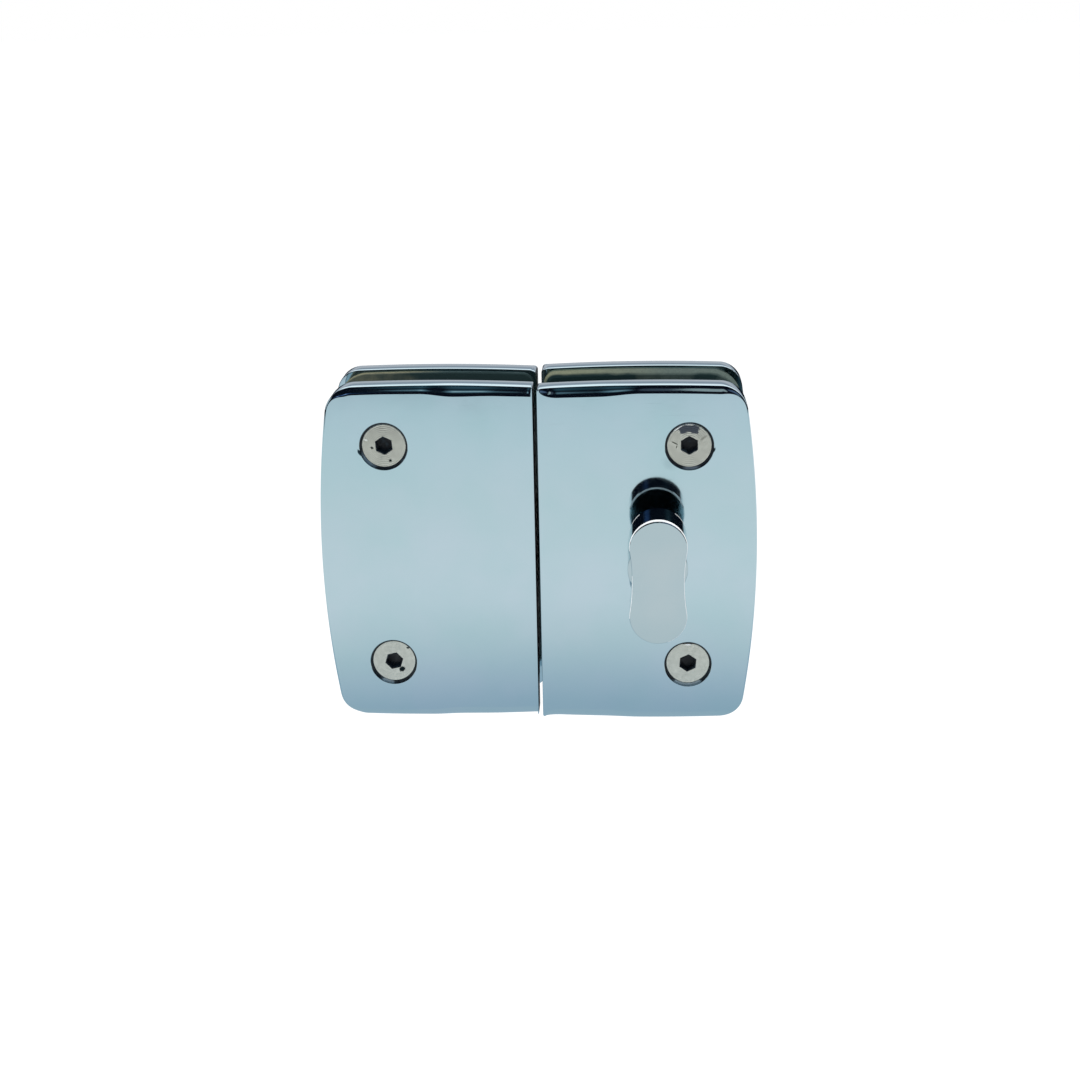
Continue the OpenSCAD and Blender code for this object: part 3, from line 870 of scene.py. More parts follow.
@dataclass(frozen=True)
class TurnedSteel(Finish):
    """Plain stainless steel, faced on a lathe: a warm grey with fine rings round each
    screw's axis, wear flecks, the specks, chips and patches of each head, painted highlights
    for the glints on the rims, and painted shade along the top of the lower lock screw's rim."""

    name: str = "turned_stainless_steel"
    color: str = "#DADBD1"
    metallic: float = 1.0
    roughness: float = 0.25
    ring_mm: float = 0.5
    ring_height_mm: float = 0.004
    fleck_mm: float = 1.6
    fleck_span: tuple[float, float] = (0.35, 0.7)
    fleck_share: float = 0.82
    marks: tuple[Mark, ...] = (
        Mark((-44.2, -14.0, 30.5), (0.42, 0.3), "#26302F", tilt=20),
        Mark((-39.4, -14.0, 26.9), (0.38, 0.32), "#1D2626", tilt=-20),
        # A painted highlight on the upper keeper screw's rim.
        Mark((-45.8, -14.0, 32.7), (0.5, 0.25), "#F4F7F2", tilt=15),
        Mark((40.6, -15.7, 35.75), (3.1, 0.95), "#565C66", soft=0.12),
        Mark((39.4, -15.7, 35.1), (1.2, 0.8), "#565C66", tilt=-15, soft=0.12),
        Mark((42.3, -15.7, 35.1), (1.2, 0.8), "#565C66", tilt=15, soft=0.12),
        # Painted highlights along the upper lock screw's rim.
        Mark((40.8, -15.7, 36.9), (1.7, 0.24), "#FFFFFF", soft=0.15),
        Mark((38.3, -15.7, 36.1), (1.5, 0.22), "#FFFFFF", tilt=-35, soft=0.15),
        # Painted shade along the top of the lower lock screw's rim.
        Mark((41.0, -15.7, -25.15), (4.2, 0.4), "#17232C", soft=0.2, share=0.9),
        Mark((37.1, -15.7, 31.75), (0.85, 0.16), "#4A4C42", tilt=28),
        Mark((37.6, -15.7, 30.7), (0.16, 0.4), "#55564C", tilt=20),
        Mark((44.6, -15.7, 33.0), (0.8, 0.3), "#8C8D82", tilt=-35, soft=0.5, share=0.6),
        Mark((-38.9, -14.0, -33.6), (0.85, 0.7), "#162124", tilt=-40, soft=0.15),
        Mark((-37.0, -14.0, -27.2), (0.4, 0.3), "#3A4442"),
        # A painted highlight on the lower lock screw's rim.
        Mark((41.0, -15.7, -25.7), (0.75, 0.2), "#FFFFFF"),
    )

    def pattern(
        self,
        tree: bpy.types.NodeTree,
        shader: bpy.types.Node,
        place: bpy.types.NodeSocket,
    ) -> None:
        """Adds the facing rings, the wear flecks and the marks of each head.

        Args:
            tree: The material's node tree.
            shader: Its shader.
            place: The place on the lock, in metres.
        """
        # The screws stand at the same distance from the part's middle planes, so the
        # distance from the nearest screw axis comes from the absolute place.
        away = add_node(tree, "VectorMath", {0: place}, operation="ABSOLUTE")
        offset = add_node(tree, "VectorMath", {
            0: away.outputs["Vector"], 1: (SCREW_X * MM, 0.0, SCREW_Z * MM),
        }, operation="SUBTRACT")
        in_plane = add_node(tree, "VectorMath", {
            0: offset.outputs["Vector"], 1: (1.0, 0.0, 1.0),
        }, operation="MULTIPLY")
        radius = add_node(tree, "VectorMath", {
            0: in_plane.outputs["Vector"],
        }, operation="LENGTH")
        turn = add_node(tree, "Math", {
            0: radius.outputs["Value"], 1: 2 * math.pi * per_metre(self.ring_mm),
        }, operation="MULTIPLY")
        rings = add_node(tree, "Math", {0: turn.outputs["Value"]}, operation="SINE")
        relief = add_node(tree, "Bump", {
            "Height": rings.outputs["Value"], "Distance": self.ring_height_mm * MM,
        })
        tree.links.new(relief.outputs["Normal"], shader.inputs["Normal"])
        flecks = add_node(tree, "TexNoise", {
            "Vector": place, "Scale": per_metre(self.fleck_mm), "Detail": 5.0, "Roughness": 0.7,
        })
        tone = add_node(tree, "MapRange", {
            "Value": flecks.outputs["Fac"], "From Min": self.fleck_span[0],
            "From Max": self.fleck_span[1], "To Min": self.fleck_share,
        })
        metal = add_node(tree, "Mix", {
            "Factor": 1.0, 6: linear(self.color), 7: tone.outputs["Result"],
        }, data_type="RGBA", blend_type="MULTIPLY")
        marked = self.marked(tree, place, metal.outputs[2])
        tree.links.new(marked, shader.inputs["Base Color"])


@dataclass(frozen=True)
class PaintedShade(Finish):
    """Painted shade in the screw recesses, the hexagons, the coin slot and the seam, drawn as
    an old greasy film with metal dust in it: nearly black, oily where it is thick and dry where
    it is thin, with painted reflections in the lower part of the recesses."""

    name: str = "painted_shade_grease"
    color: str = "#0D1822"
    metallic: float = 0.0
    roughness: float = 0.35
    thin_color: str = "#30424E"
    lump_mm: float = 2.2
    lump_height_mm: float = 0.12
    thin_span: tuple[float, float] = (0.55, 0.72)
    dry_span: tuple[float, float] = (0.4, 0.7)
    dry_roughness: float = 0.7
    marks: tuple[Mark, ...] = (
        # Painted reflections: lighter patches in the lower part of the screw recesses.
        Mark((41.3, -16.0, -37.3), (6.0, 1.5), "#8FA4B0", soft=0.2, share=0.9),
        Mark((-45.6, -14.4, 26.6), (2.4, 2.8), "#61798A", tilt=40, soft=0.4, share=0.7),
        Mark((-43.2, -14.4, -37.3), (2.0, 1.2), "#8296A3", soft=0.2, share=0.8),
        Mark((41.6, -16.0, 24.9), (2.0, 0.8), "#7F93A6", soft=0.3, share=0.4),
    )

    def pattern(
        self,
        tree: bpy.types.NodeTree,
        shader: bpy.types.Node,
        place: bpy.types.NodeSocket,
    ) -> None:
        """Adds the lumps, the thin and dry places and the painted reflections.

        Args:
            tree: The material's node tree.
            shader: Its shader.
            place: The place on the lock, in metres.
        """
        lumps = add_node(tree, "TexNoise", {
            "Vector": place, "Scale": per_metre(self.lump_mm), "Detail": 4.0,
        })
        relief = add_node(tree, "Bump", {
            "Height": lumps.outputs["Fac"], "Distance": self.lump_height_mm * MM,
        })
        tree.links.new(relief.outputs["Normal"], shader.inputs["Normal"])
        thin = add_node(tree, "MapRange", {
            "Value": lumps.outputs["Fac"], "From Min": self.thin_span[0],
            "From Max": self.thin_span[1],
        })
        mixed = add_node(tree, "Mix", {
            "Factor": thin.outputs["Result"], 6: linear(self.color), 7: linear(self.thin_color),
        }, data_type="RGBA")
        marked = self.marked(tree, place, mixed.outputs[2])
        tree.links.new(marked, shader.inputs["Base Color"])
        dry = add_node(tree, "MapRange", {
            "Value": lumps.outputs["Fac"], "From Min": self.dry_span[0],
            "From Max": self.dry_span[1], "To Min": self.roughness,
            "To Max": self.dry_roughness,
        })
        tree.links.new(dry.outputs["Result"], shader.inputs["Roughness"])


@dataclass(frozen=True)
class PressedFibre(Finish):
    """Pressed fibre gasket sheet: olive at the cut edge beside the plate, where the fibres
    show, greyer towards the far end, and a dark green painted shade on the face at the glass."""

    name: str = "pressed_fibre_gasket"
    # The painted shade on the face at the glass.
    color: str = "#08292B"
    metallic: float = 0.0
    roughness: float = 0.75
    cut_edge: str = "#767C66"
    far_edge: str = "#55645F"
    far_from_mm: float = 8.0
    far_to_mm: float = 36.0
    far_shift_mm: float = 0.5
    unshaded_from_mm: float = 6.4
    unshaded_to_mm: float = 7.0
    cloud_mm: float = 9.0
    wander_mm: float = 1.4
    fibre_mm: float = 0.5
    fibre_height_mm: float = 0.06
    fibre_strength: float = 0.5
    grain_span: tuple[float, float] = (0.3, 0.7)
    grain_shares: tuple[float, float] = (0.75, 1.15)

    def pattern(
        self,
        tree: bpy.types.NodeTree,
        shader: bpy.types.Node,
        place: bpy.types.NodeSocket,
    ) -> None:
        """Adds the painted shade at the glass, the lighter edge beside the plate and the fibre
        grain.

        Args:
            tree: The material's node tree.
            shader: Its shader.
            place: The place on the lock, in metres.
        """
        fibres = add_node(tree, "TexNoise", {
            "Vector": place, "Scale": per_metre(self.fibre_mm), "Detail": 4.0, "Roughness": 0.7,
        })
        relief = add_node(tree, "Bump", {
            "Height": fibres.outputs["Fac"], "Strength": self.fibre_strength,
            "Distance": self.fibre_height_mm * MM,
        })
        tree.links.new(relief.outputs["Normal"], shader.inputs["Normal"])
        grain = add_node(tree, "MapRange", {
            "Value": fibres.outputs["Fac"], "From Min": self.grain_span[0],
            "From Max": self.grain_span[1], "To Min": self.grain_shares[0],
            "To Max": self.grain_shares[1],
        })
        cloud = add_node(tree, "TexNoise", {
            "Vector": place, "Scale": per_metre(self.cloud_mm), "Detail": 4.0,
        })
        parts = add_node(tree, "SeparateXYZ", {"Vector": place})
        width = add_node(tree, "Math", {0: parts.outputs["X"]}, operation="ABSOLUTE")
        far = add_node(tree, "MapRange", {
            "Value": width.outputs["Value"], "From Min": self.far_from_mm * MM,
            "From Max": self.far_to_mm * MM,
        })
        edge = add_node(tree, "Mix", {
            "Factor": far.outputs["Result"], 6: linear(self.cut_edge), 7: linear(self.far_edge),
        }, data_type="RGBA")
        fibre = add_node(tree, "Mix", {
            "Factor": 1.0, 6: edge.outputs[2], 7: grain.outputs["Result"],
        }, data_type="RGBA", blend_type="MULTIPLY")
        # The painted shade's border wanders unevenly.
        depth = add_node(tree, "Math", {0: parts.outputs["Y"]}, operation="ABSOLUTE")
        wandered = add_node(tree, "Math", {
            0: cloud.outputs["Fac"], 1: self.wander_mm * MM, 2: -self.wander_mm * MM / 2,
        }, operation="MULTIPLY_ADD")
        near = add_node(tree, "Math", {
            0: depth.outputs["Value"], 1: wandered.outputs["Value"],
        }, operation="ADD")
        border = add_node(tree, "Math", {
            0: far.outputs["Result"], 1: self.far_shift_mm * MM, 2: near.outputs["Value"],
        }, operation="MULTIPLY_ADD")
        # The painted shade on the face at the glass gives way to the fibre's colour towards the
        # plate.
        dry = add_node(tree, "MapRange", {
            "Value": border.outputs["Value"], "From Min": self.unshaded_from_mm * MM,
            "From Max": self.unshaded_to_mm * MM,
        })
        mixed = add_node(tree, "Mix", {
            "Factor": dry.outputs["Result"], 6: linear(self.color), 7: fibre.outputs[2],
        }, data_type="RGBA")
        tree.links.new(mixed.outputs[2], shader.inputs["Base Color"])


@dataclass(frozen=True)
class MilledMetal(Finish):
    """Metal as the milling cutter left it: fine parallel tool lines with a soft sheen,
    a little tarnish, and painted shade near the seam."""

    name: str = "milled_brass"
    color: str = "#BFA672"
    metallic: float = 1.0
    roughness: float = 0.36
    line_mm: float = 0.8
    line_height_mm: float = 0.006
    line_waver: float = 1.5
    tarnish_mm: float = 7.0
    tarnish_share: float = 0.7
    tarnish_span: tuple[float, float] = (0.35, 0.65)
    seam_shade: str = "#1B3F3D"
    seam_shade_from_mm: float = 1.8
    seam_shade_to_mm: float = 4.0

    def pattern(
        self,
        tree: bpy.types.NodeTree,
        shader: bpy.types.Node,
        place: bpy.types.NodeSocket,
    ) -> None:
        """Adds the tool lines, the tarnish and the painted shade near the seam.

        Args:
            tree: The material's node tree.
            shader: Its shader.
            place: The place on the lock, in metres.
        """
        lines = add_node(tree, "TexWave", {
            "Vector": place, "Scale": per_metre(self.line_mm) / (2 * math.pi),
            "Distortion": self.line_waver, "Detail": 2.0,
        }, bands_direction="DIAGONAL")
        relief = add_node(tree, "Bump", {
            "Height": lines.outputs["Fac"], "Distance": self.line_height_mm * MM,
        })
        tree.links.new(relief.outputs["Normal"], shader.inputs["Normal"])
        cloud = add_node(tree, "TexNoise", {
            "Vector": place, "Scale": per_metre(self.tarnish_mm), "Detail": 5.0,
        })
        tone = add_node(tree, "MapRange", {
            "Value": cloud.outputs["Fac"], "From Min": self.tarnish_span[0],
            "From Max": self.tarnish_span[1], "To Min": self.tarnish_share,
        })
        metal = add_node(tree, "Mix", {
            "Factor": 1.0, 6: linear(self.color), 7: tone.outputs["Result"],
        }, data_type="RGBA", blend_type="MULTIPLY")
        # Painted shade darkens the metal near the seam.
        parts = add_node(tree, "SeparateXYZ", {"Vector": place})
        away = add_node(tree, "Math", {0: parts.outputs["X"]}, operation="ABSOLUTE")
        seam_shaded = add_node(tree, "MapRange", {
            "Value": away.outputs["Value"], "From Min": self.seam_shade_from_mm * MM,
            "From Max": self.seam_shade_to_mm * MM, "To Min": 1.0, "To Max": 0.0,
        })
        mixed = add_node(tree, "Mix", {
            "Factor": seam_shaded.outputs["Result"], 6: metal.outputs[2], 7: linear(self.seam_shade),
        }, data_type="RGBA")
        tree.links.new(mixed.outputs[2], shader.inputs["Base Color"])


@dataclass(frozen=True)
class MouldedNylon(Finish):
    """Moulded nylon: milky, slightly waxy, with the fine orange skin of the mould."""

    name: str = "moulded_nylon"
    color: str = "#DDD9CC"
    metallic: float = 0.0
    roughness: float = 0.45
    skin_mm: float = 0.7
    skin_height_mm: float = 0.01
    skin_span: tuple[float, float] = (0.3, 0.7)
    skin_roughness: tuple[float, float] = (0.4, 0.52)

    def pattern(
        self,
        tree: bpy.types.NodeTree,
        shader: bpy.types.Node,
        place: bpy.types.NodeSocket,
    ) -> None:
        """Adds the mould's skin.

        Args:
            tree: The material's node tree.
            shader: Its shader.
            place: The place on the lock, in metres.
        """
        skin = add_node(tree, "TexNoise", {
            "Vector": place, "Scale": per_metre(self.skin_mm), "Detail": 3.0,
        })
        relief = add_node(tree, "Bump", {
            "Height": skin.outputs["Fac"], "Distance": self.skin_height_mm * MM,
        })
        tree.links.new(relief.outputs["Normal"], shader.inputs["Normal"])
        cloud = add_node(tree, "MapRange", {
            "Value": skin.outputs["Fac"], "From Min": self.skin_span[0],
            "From Max": self.skin_span[1], "To Min": self.skin_roughness[0],
            "To Max": self.skin_roughness[1],
        })
        tree.links.new(cloud.outputs["Result"], shader.inputs["Roughness"])


class Finishes:
    """The materials of the lock: one for each slot of the record, the thumbturn's and the
    thin gaskets' own, and the second finishes: the painted shade in the hollows and the seam,
    and the thumbturn's painted highlight."""

    def __init__(self) -> None:
        """Builds every material once."""
        self.chrome = PolishedChrome().material()
        self.handled = PolishedChrome(
            name="handled_chrome_thumbturn",
            color="#B3C3C9",
            cloud_color="#ACC0C7",
            roughness=0.07,
            marks=(),
        ).material()
        self.edge = PaintedHighlight().material()
        self.screw = TurnedSteel().material()
        self.painted_shade = PaintedShade().material()
        self.gasket = PressedFibre().material()
        # The thin gaskets carry a lighter painted shade on the face at the glass.
        self.thin_gasket = PressedFibre(
            name="pressed_fibre_thin_gasket",
            color="#1A3335",
            cut_edge="#43585A",
            far_edge="#7C7C64",
            far_from_mm=26.0,
            far_to_mm=36.0,
            far_shift_mm=0.3,
            unshaded_from_mm=6.2,
            unshaded_to_mm=6.7,
            wander_mm=1.0,
        ).material()
        self.brass = MilledMetal().material()
        self.steel = MilledMetal(
            name="milled_steel",
            color="#B9BBBD",
            roughness=0.3,
            tarnish_share=0.85,
        ).material()
        self.dark = MilledMetal(
            name="blackened_steel",
            color="#3B3C40",
            roughness=0.42,
            tarnish_share=0.6,
        ).material()
        self.nylon = MouldedNylon().material()

    def dress(self, piece: bpy.types.Object, finish: bpy.types.Material) -> None:
        """Puts a finish on a node, or on a fine piece with its second finish.

        Args:
            piece: The node or the fine piece.
            finish: Its main finish.
        """
        if not piece.data.materials:
            piece.data.materials.append(finish)
            # The second finish is the thumbturn's painted highlight, or the painted shade on
            # every other piece.
            piece.data.materials.append(self.edge if finish is self.handled else self.painted_shade)
            return
        for i in range(len(piece.data.materials)):
            piece.data.materials[i] = finish


@dataclass
class PlatePlan:
    """Outline of a cover plate, with the seam at its left and the bowed end at its right."""

    half_w: float = 58.8
    plate_h: float = 95.2
    seam: float = 1.2
    side_r: float = 280.0
    top_r: float = 600.0
    corner_r: float = 6.6
    seam_corner_r: float = 0.6
    edge_break: float = 0.3
    corner_reach: float = 0.5
    taper: float = 1.1
    # Share of the round's missing reach by which buffing took the seam corners down.
    droop: float = 0.0
    # Reach of the round along the plate's width, as polishing by hand left it.
    sway: tuple[tuple[float, float], ...] = ((0.0, 2.4), (60.0, 2.4))
    seam_steps: int = 12
    seam_corner_steps: int = 8
    # Facets for each millimetre of the taper, and the fewest that it has.
    taper_steps: int = 3
    top_steps: int = 44
    corner_steps: int = 18
    side_steps: int = 34

    def centres(self) -> dict[str, tuple[float, float]]:
        """Finds the centres of the outline's arcs.

        Returns:
            The centres of the side arc, the top arc and the two upper corners.
        """
        side = (self.seam / 2 + self.half_w - self.side_r, 0.0)
        top = (self.seam / 2 + self.half_w / 2, self.plate_h / 2 - self.top_r)
        near = self.side_r - self.corner_r
        far = self.top_r - self.corner_r
        du, dv = top[0] - side[0], top[1] - side[1]
        d = math.hypot(du, dv)
        along = (near**2 - far**2 + d**2) / (2 * d)
        off = math.sqrt(near**2 - along**2)
        spots = []
        for sign in (1, -1):
            spots.append(
                (
                    side[0] + du / d * along - sign * dv / d * off,
                    side[1] + dv / d * along + sign * du / d * off,
                )
            )
        outer = max(spots, key=lambda spot: spot[1])
        x = self.seam / 2 + self.seam_corner_r
        reach = self.top_r - self.seam_corner_r
        inner = (x, top[1] + math.sqrt(reach**2 - (x - top[0]) ** 2))
        return {"side": side, "top": top, "outer": outer, "inner": inner}

    def reach_at(self, u: float) -> float:
        """Finds the reach of the polished round on the way along the plate.

        Args:
            u: The distance from the seam.

        Returns:
            The reach there.
        """
        for (u0, reach0), (u1, reach1) in zip(self.sway, self.sway[1:]):
            if u <= u1:
                share = (1 - math.cos(math.pi * max(0.0, u - u0) / (u1 - u0))) / 2
                return reach0 + (reach1 - reach0) * share
        return self.sway[-1][1]

    def lowered(self, station: Station, short: float) -> Station:
        """Returns the station taken down for this much missing reach of its round."""
        return Station(station.u, station.v - self.droop * short, station.nu, station.nv)

    def stations(self) -> tuple[list[Station], list[float]]:
        """Lays the stations round the plate, anticlockwise from the seam's middle.

        Returns:
            The stations and, for each, the radius of the polished round there.
        """
        c = self.centres()
        turn_in = turn_to(c["top"], c["inner"])
        turn_out = turn_to(c["top"], c["outer"])
        turn_side = turn_to(c["side"], c["outer"])
        upper: list[Station] = []
        rounds: list[float] = []

        steps = self.seam_steps
        for i in range(steps):
            upper.append(Station(self.seam / 2, c["inner"][1] * i / steps, -1.0, 0.0))
            rounds.append(self.edge_break)
        steps = self.seam_corner_steps
        growth = self.corner_reach - self.edge_break
        short = self.reach_at(0.0) - self.corner_reach
        corner = arc(c["inner"], self.seam_corner_r, 180, turn_in, steps)[:-1]
        upper += [self.lowered(station, short) for station in corner]
        rounds += [self.edge_break + growth * i / steps for i in range(steps)]

        taper_turn = math.degrees(self.taper / self.top_r)
        taper_steps = max(self.taper_steps, round(self.taper_steps * self.taper))
        for i in range(taper_steps):
            share = (i / taper_steps) ** 2
            station = arc(c["top"], self.top_r, turn_in - taper_turn * share, turn_in, 1)[0]
            rise = math.sqrt(1 - (1 - share) ** 2)
            short = (self.reach_at(station.u) - self.corner_reach) * (1 - rise)
            upper.append(self.lowered(station, short))
            rounds.append(self.reach_at(station.u) - short)
        rest = arc(c["top"], self.top_r, turn_in - taper_turn, turn_out, self.top_steps)
        rest += arc(c["outer"], self.corner_r, turn_out, turn_side, self.corner_steps)[1:]
        rest += arc(c["side"], self.side_r, turn_side, 0, self.side_steps)[1:]
        upper += rest
        rounds += [self.reach_at(station.u) for station in rest]

        lower = [Station(s.u, -s.v, s.nu, -s.nv) for s in upper[1:-1]][::-1]
        return upper + lower, rounds + rounds[1:-1][::-1]


@dataclass
class CoverPlate:
    """One polished cover plate with its rounded rim, screw seats and bores."""

    half: Half
    cover: Cover
    inner_inset: float = 0.25
    inner_roll: float = 0.9
    # Radius and depth of the corners of the bores, from the outer face.
    seat_profile: tuple[tuple[float, float], ...] = (
        (6.65, 0.0), (6.5, 0.15), (6.5, 1.0), (6.05, 1.0), (6.05, 1.4), (3.3, 4.15), (3.3, 8.0),
    )
    bore_front: tuple[tuple[float, float], ...] = (
        (7.15, 0.0), (7.03, 0.12), (7.03, 5.8), (10.0, 5.8), (10.0, 8.0),
    )
    bore_back: tuple[tuple[float, float], ...] = (
        (10.85, 0.0), (10.7, 0.15), (10.7, 2.2), (7.03, 2.2), (7.03, 5.8), (10.0, 5.8),
        (10.0, 8.0),
    )
    # Width of the outer face beside a bore that sets the normal at the bore's edge.
    face_w: float = 3.0
    # The blind holes for the screws' ends, and the least metal left beyond their tips.
    tap_r: float = 3.05
    tap_depths: tuple[float, float] = (5.0, 6.6)
    tap_tip_turn: float = 30.0
    tap_floor: float = 0.5
    tap_facets: int = 48
    # A wall faces the seam where its normal leans that way by more than the first share
    # and outwards by less than the second.
    seam_lean: tuple[float, float] = (0.6, 0.1)

    @property
    def name(self) -> str:
        """The CAD node that the plate stands for."""
        return f"{self.half.name.lower()}_{self.cover.name.lower()}_plate"

    def plan(self) -> PlatePlan:
        """Plans the outline; both front rims sway, and one runs out long at the seam.

        Returns:
            The plate's plan.
        """
        if self.cover is Cover.BACK:
            return PlatePlan(seam_corner_r=1.2, corner_reach=1.15, taper=0.9, droop=0.18)
        if self.half is Half.KEEPER:
            return PlatePlan(
                corner_r=7.8,
                seam_corner_r=0.3,
                edge_break=0.2,
                corner_reach=0.25,
                taper=0.15,
                sway=(
                    (0.0, 2.5), (10.0, 2.6), (22.0, 2.95), (31.0, 2.2), (44.0, 2.1),
                    (51.0, 2.1), (56.2, 0.5), (60.0, 0.4),
                ),
            )
        return PlatePlan(
            corner_r=7.4,
            corner_reach=0.4,
            taper=4.8,
            sway=(
                (0.0, 2.6), (17.0, 2.8), (28.0, 2.15), (49.0, 2.15), (56.8, 0.4), (60.0, 0.35),
            ),
        )

    def seat(self) -> Seat:
        """The plate's seat: its inner face, with u away from the seam."""
        side, face = self.half.value, self.cover.value
        return Seat.upright((0, face * self.half.slot / 2, 0), side, face)

    def faces_seam(self, seat: Seat, normal: Vector) -> bool:
        """Tells whether a normal points across the seam and not to the outside."""
        least, most = self.seam_lean
        return -normal.dot(seat.across) > least and normal.dot(seat.out) < most

    def through(
        self,
        skin: Skin,
        seat: Seat,
        centre: tuple[float, float],
        profile: tuple[tuple[float, float], ...],
    ) -> tuple[list[int], list[int]]:
        """Bores through the plate; below its first wall the bore carries the painted shade.

        Args:
            skin: The plate's skin.
            seat: The plate's seat.
            centre: The bore's centre in the plan.
            profile: Radius and depth of the bore's corners, from outside.

        Returns:
            The bore's outer and inner ring.
        """
        rows = [(r, PLATE_T - depth) for r, depth in profile]
        start = (rows[0][0] + self.face_w, rows[0][1])
        return skin.turned(seat, centre, rows, before=start, shaded_from=2)

    def tap(self, skin: Skin, seat: Seat, centre: tuple[float, float]) -> list[int]:
        """Drills a blind hole for a clamp screw from the plate's inner face.

        Args:
            skin: The plate's skin.
            seat: The plate's seat.
            centre: The hole's centre in the plan.

        Returns:
            The hole's ring in the inner face.
        """
        depth = self.half.pick(self.tap_depths)
        tip = depth + self.tap_r * math.tan(math.radians(self.tap_tip_turn)) / 2
        bottom = min(tip, PLATE_T - self.tap_floor)
        profile = [(self.tap_r, 0.0), (self.tap_r, depth), (0.0, bottom)]
        return skin.turned(seat, centre, profile, steps=self.tap_facets)[0]

    def make(self) -> bpy.types.Object:
        """Builds the plate.

        Returns:
            The plate's object.
        """
        skin = Skin()
        seat = self.seat()
        outline, rounds = self.plan().stations()
        slab = Slab(seat, outline, PLATE_T, self.inner_inset, self.inner_roll, rounds)
        inner_ring, outer_ring = slab.wrap(skin)
        # Painted shade darkens the walls that face each other across the seam, and
        # their edges inside the slot.
        for number, normals in enumerate(skin.normals):
            if all(self.faces_seam(seat, normal) for normal in normals.values()):
                skin.finishes[number] = 1
        inner_holes, outer_holes = [], []
        for v in (SCREW_Z, -SCREW_Z):
            if self.cover is Cover.FRONT:
                first, last = self.through(skin, seat, (SCREW_X, v), self.seat_profile)
                outer_holes.append(first)
                inner_holes.append(last)
            else:
                inner_holes.append(self.tap(skin, seat, (SCREW_X, v)))
        if self.half is Half.LOCK:
            bore = self.bore_front if self.cover is Cover.FRONT else self.bore_back
            first, last = self.through(skin, seat, (KNOB_X, 0.0), bore)
            outer_holes.append(first)
            inner_holes.append(last)
        skin.flat(seat, -seat.out, inner_ring, inner_holes)
        skin.flat(seat, seat.out.copy(), outer_ring, outer_holes)
        return skin.build(self.name + "_polished")


@dataclass
class Gasket:
    """A fibre gasket round the glass's cut-out, bevelled along its rim."""

    half: Half
    cover: Cover
    thicknesses: tuple[float, float] = (1.0, 2.7)
    bevels: tuple[float, float] = (0.4, 1.4)
    inset: float = 0.8
    corner_r: float = 8.4
    seam_corner_r: float = 3.2
    notch_x: float = 50.2
    notch_half_h: float = 38.0
    notch_r: float = 6.0
    edge_break: float = 0.05
    notch_steps: int = 12
    # Stations this close to the seam count as lying on it.
    seam_gap: float = 1e-6

    @property
    def name(self) -> str:
        """The CAD node that the gasket stands for."""
        return f"{self.half.name.lower()}_{self.cover.name.lower()}_gasket"

    def outline(self, bevel: float) -> tuple[list[Station], list[float]]:
        """Lays the gasket's outline: the rim, then the cut-out's three sides.

        Args:
            bevel: The bevel along the rim.

        Returns:
            The stations and, for each, its bevel.
        """
        whole = PlatePlan()
        plan = PlatePlan(
            half_w=whole.half_w - 2 * self.inset,
            plate_h=whole.plate_h - 2 * self.inset,
            seam=whole.seam + 2 * self.inset,
            side_r=whole.side_r - self.inset,
            top_r=whole.top_r - self.inset,
            corner_r=self.corner_r,
            seam_corner_r=self.seam_corner_r,
        )
        edge, high = plan.seam / 2, self.notch_half_h
        beyond = edge + self.seam_gap
        rim = [s for s in plan.stations()[0] if s.u > beyond or abs(s.v) > high]
        deep = self.notch_x - self.notch_r
        turn = high - self.notch_r
        steps = self.notch_steps
        slant = math.sqrt(0.5)
        notch = [Station(edge, -high, -slant, slant)]
        notch += [Station(edge + (deep - edge) * i / steps, -high, 0, 1) for i in range(1, steps)]
        notch += arc((deep, -turn), self.notch_r, 270, 360, steps, hollow=True)
        rises = [turn * (2 * i / steps - 1) for i in range(1, steps)]
        notch += [Station(self.notch_x, rise, -1, 0) for rise in rises]
        notch += arc((deep, turn), self.notch_r, 0, 90, steps, hollow=True)
        notch += [Station(deep - (deep - edge) * i / steps, high, 0, -1) for i in range(1, steps)]
        notch += [Station(edge, high, -slant, -slant)]
        return rim + notch, [bevel] * len(rim) + [self.edge_break] * len(notch)

    def make(self) -> bpy.types.Object:
        """Builds the gasket.

        Returns:
            The gasket's object.
        """
        side, face = self.half.value, self.cover.value
        seat = Seat.upright((0, face * self.half.slot / 2, 0), side, -face)
        outline, reach = self.outline(self.half.pick(self.bevels))
        skin = Skin()
        edge = self.edge_break
        thickness = self.half.pick(self.thicknesses)
        slab = Slab(seat, outline, thickness, edge, edge, reach, EdgeForm.BEVEL)
        low_ring, high_ring = slab.wrap(skin)
        skin.flat(seat, -seat.out, low_ring, [])
        skin.flat(seat, seat.out.copy(), high_ring, [])
        return skin.build(self.name + "_pressed")


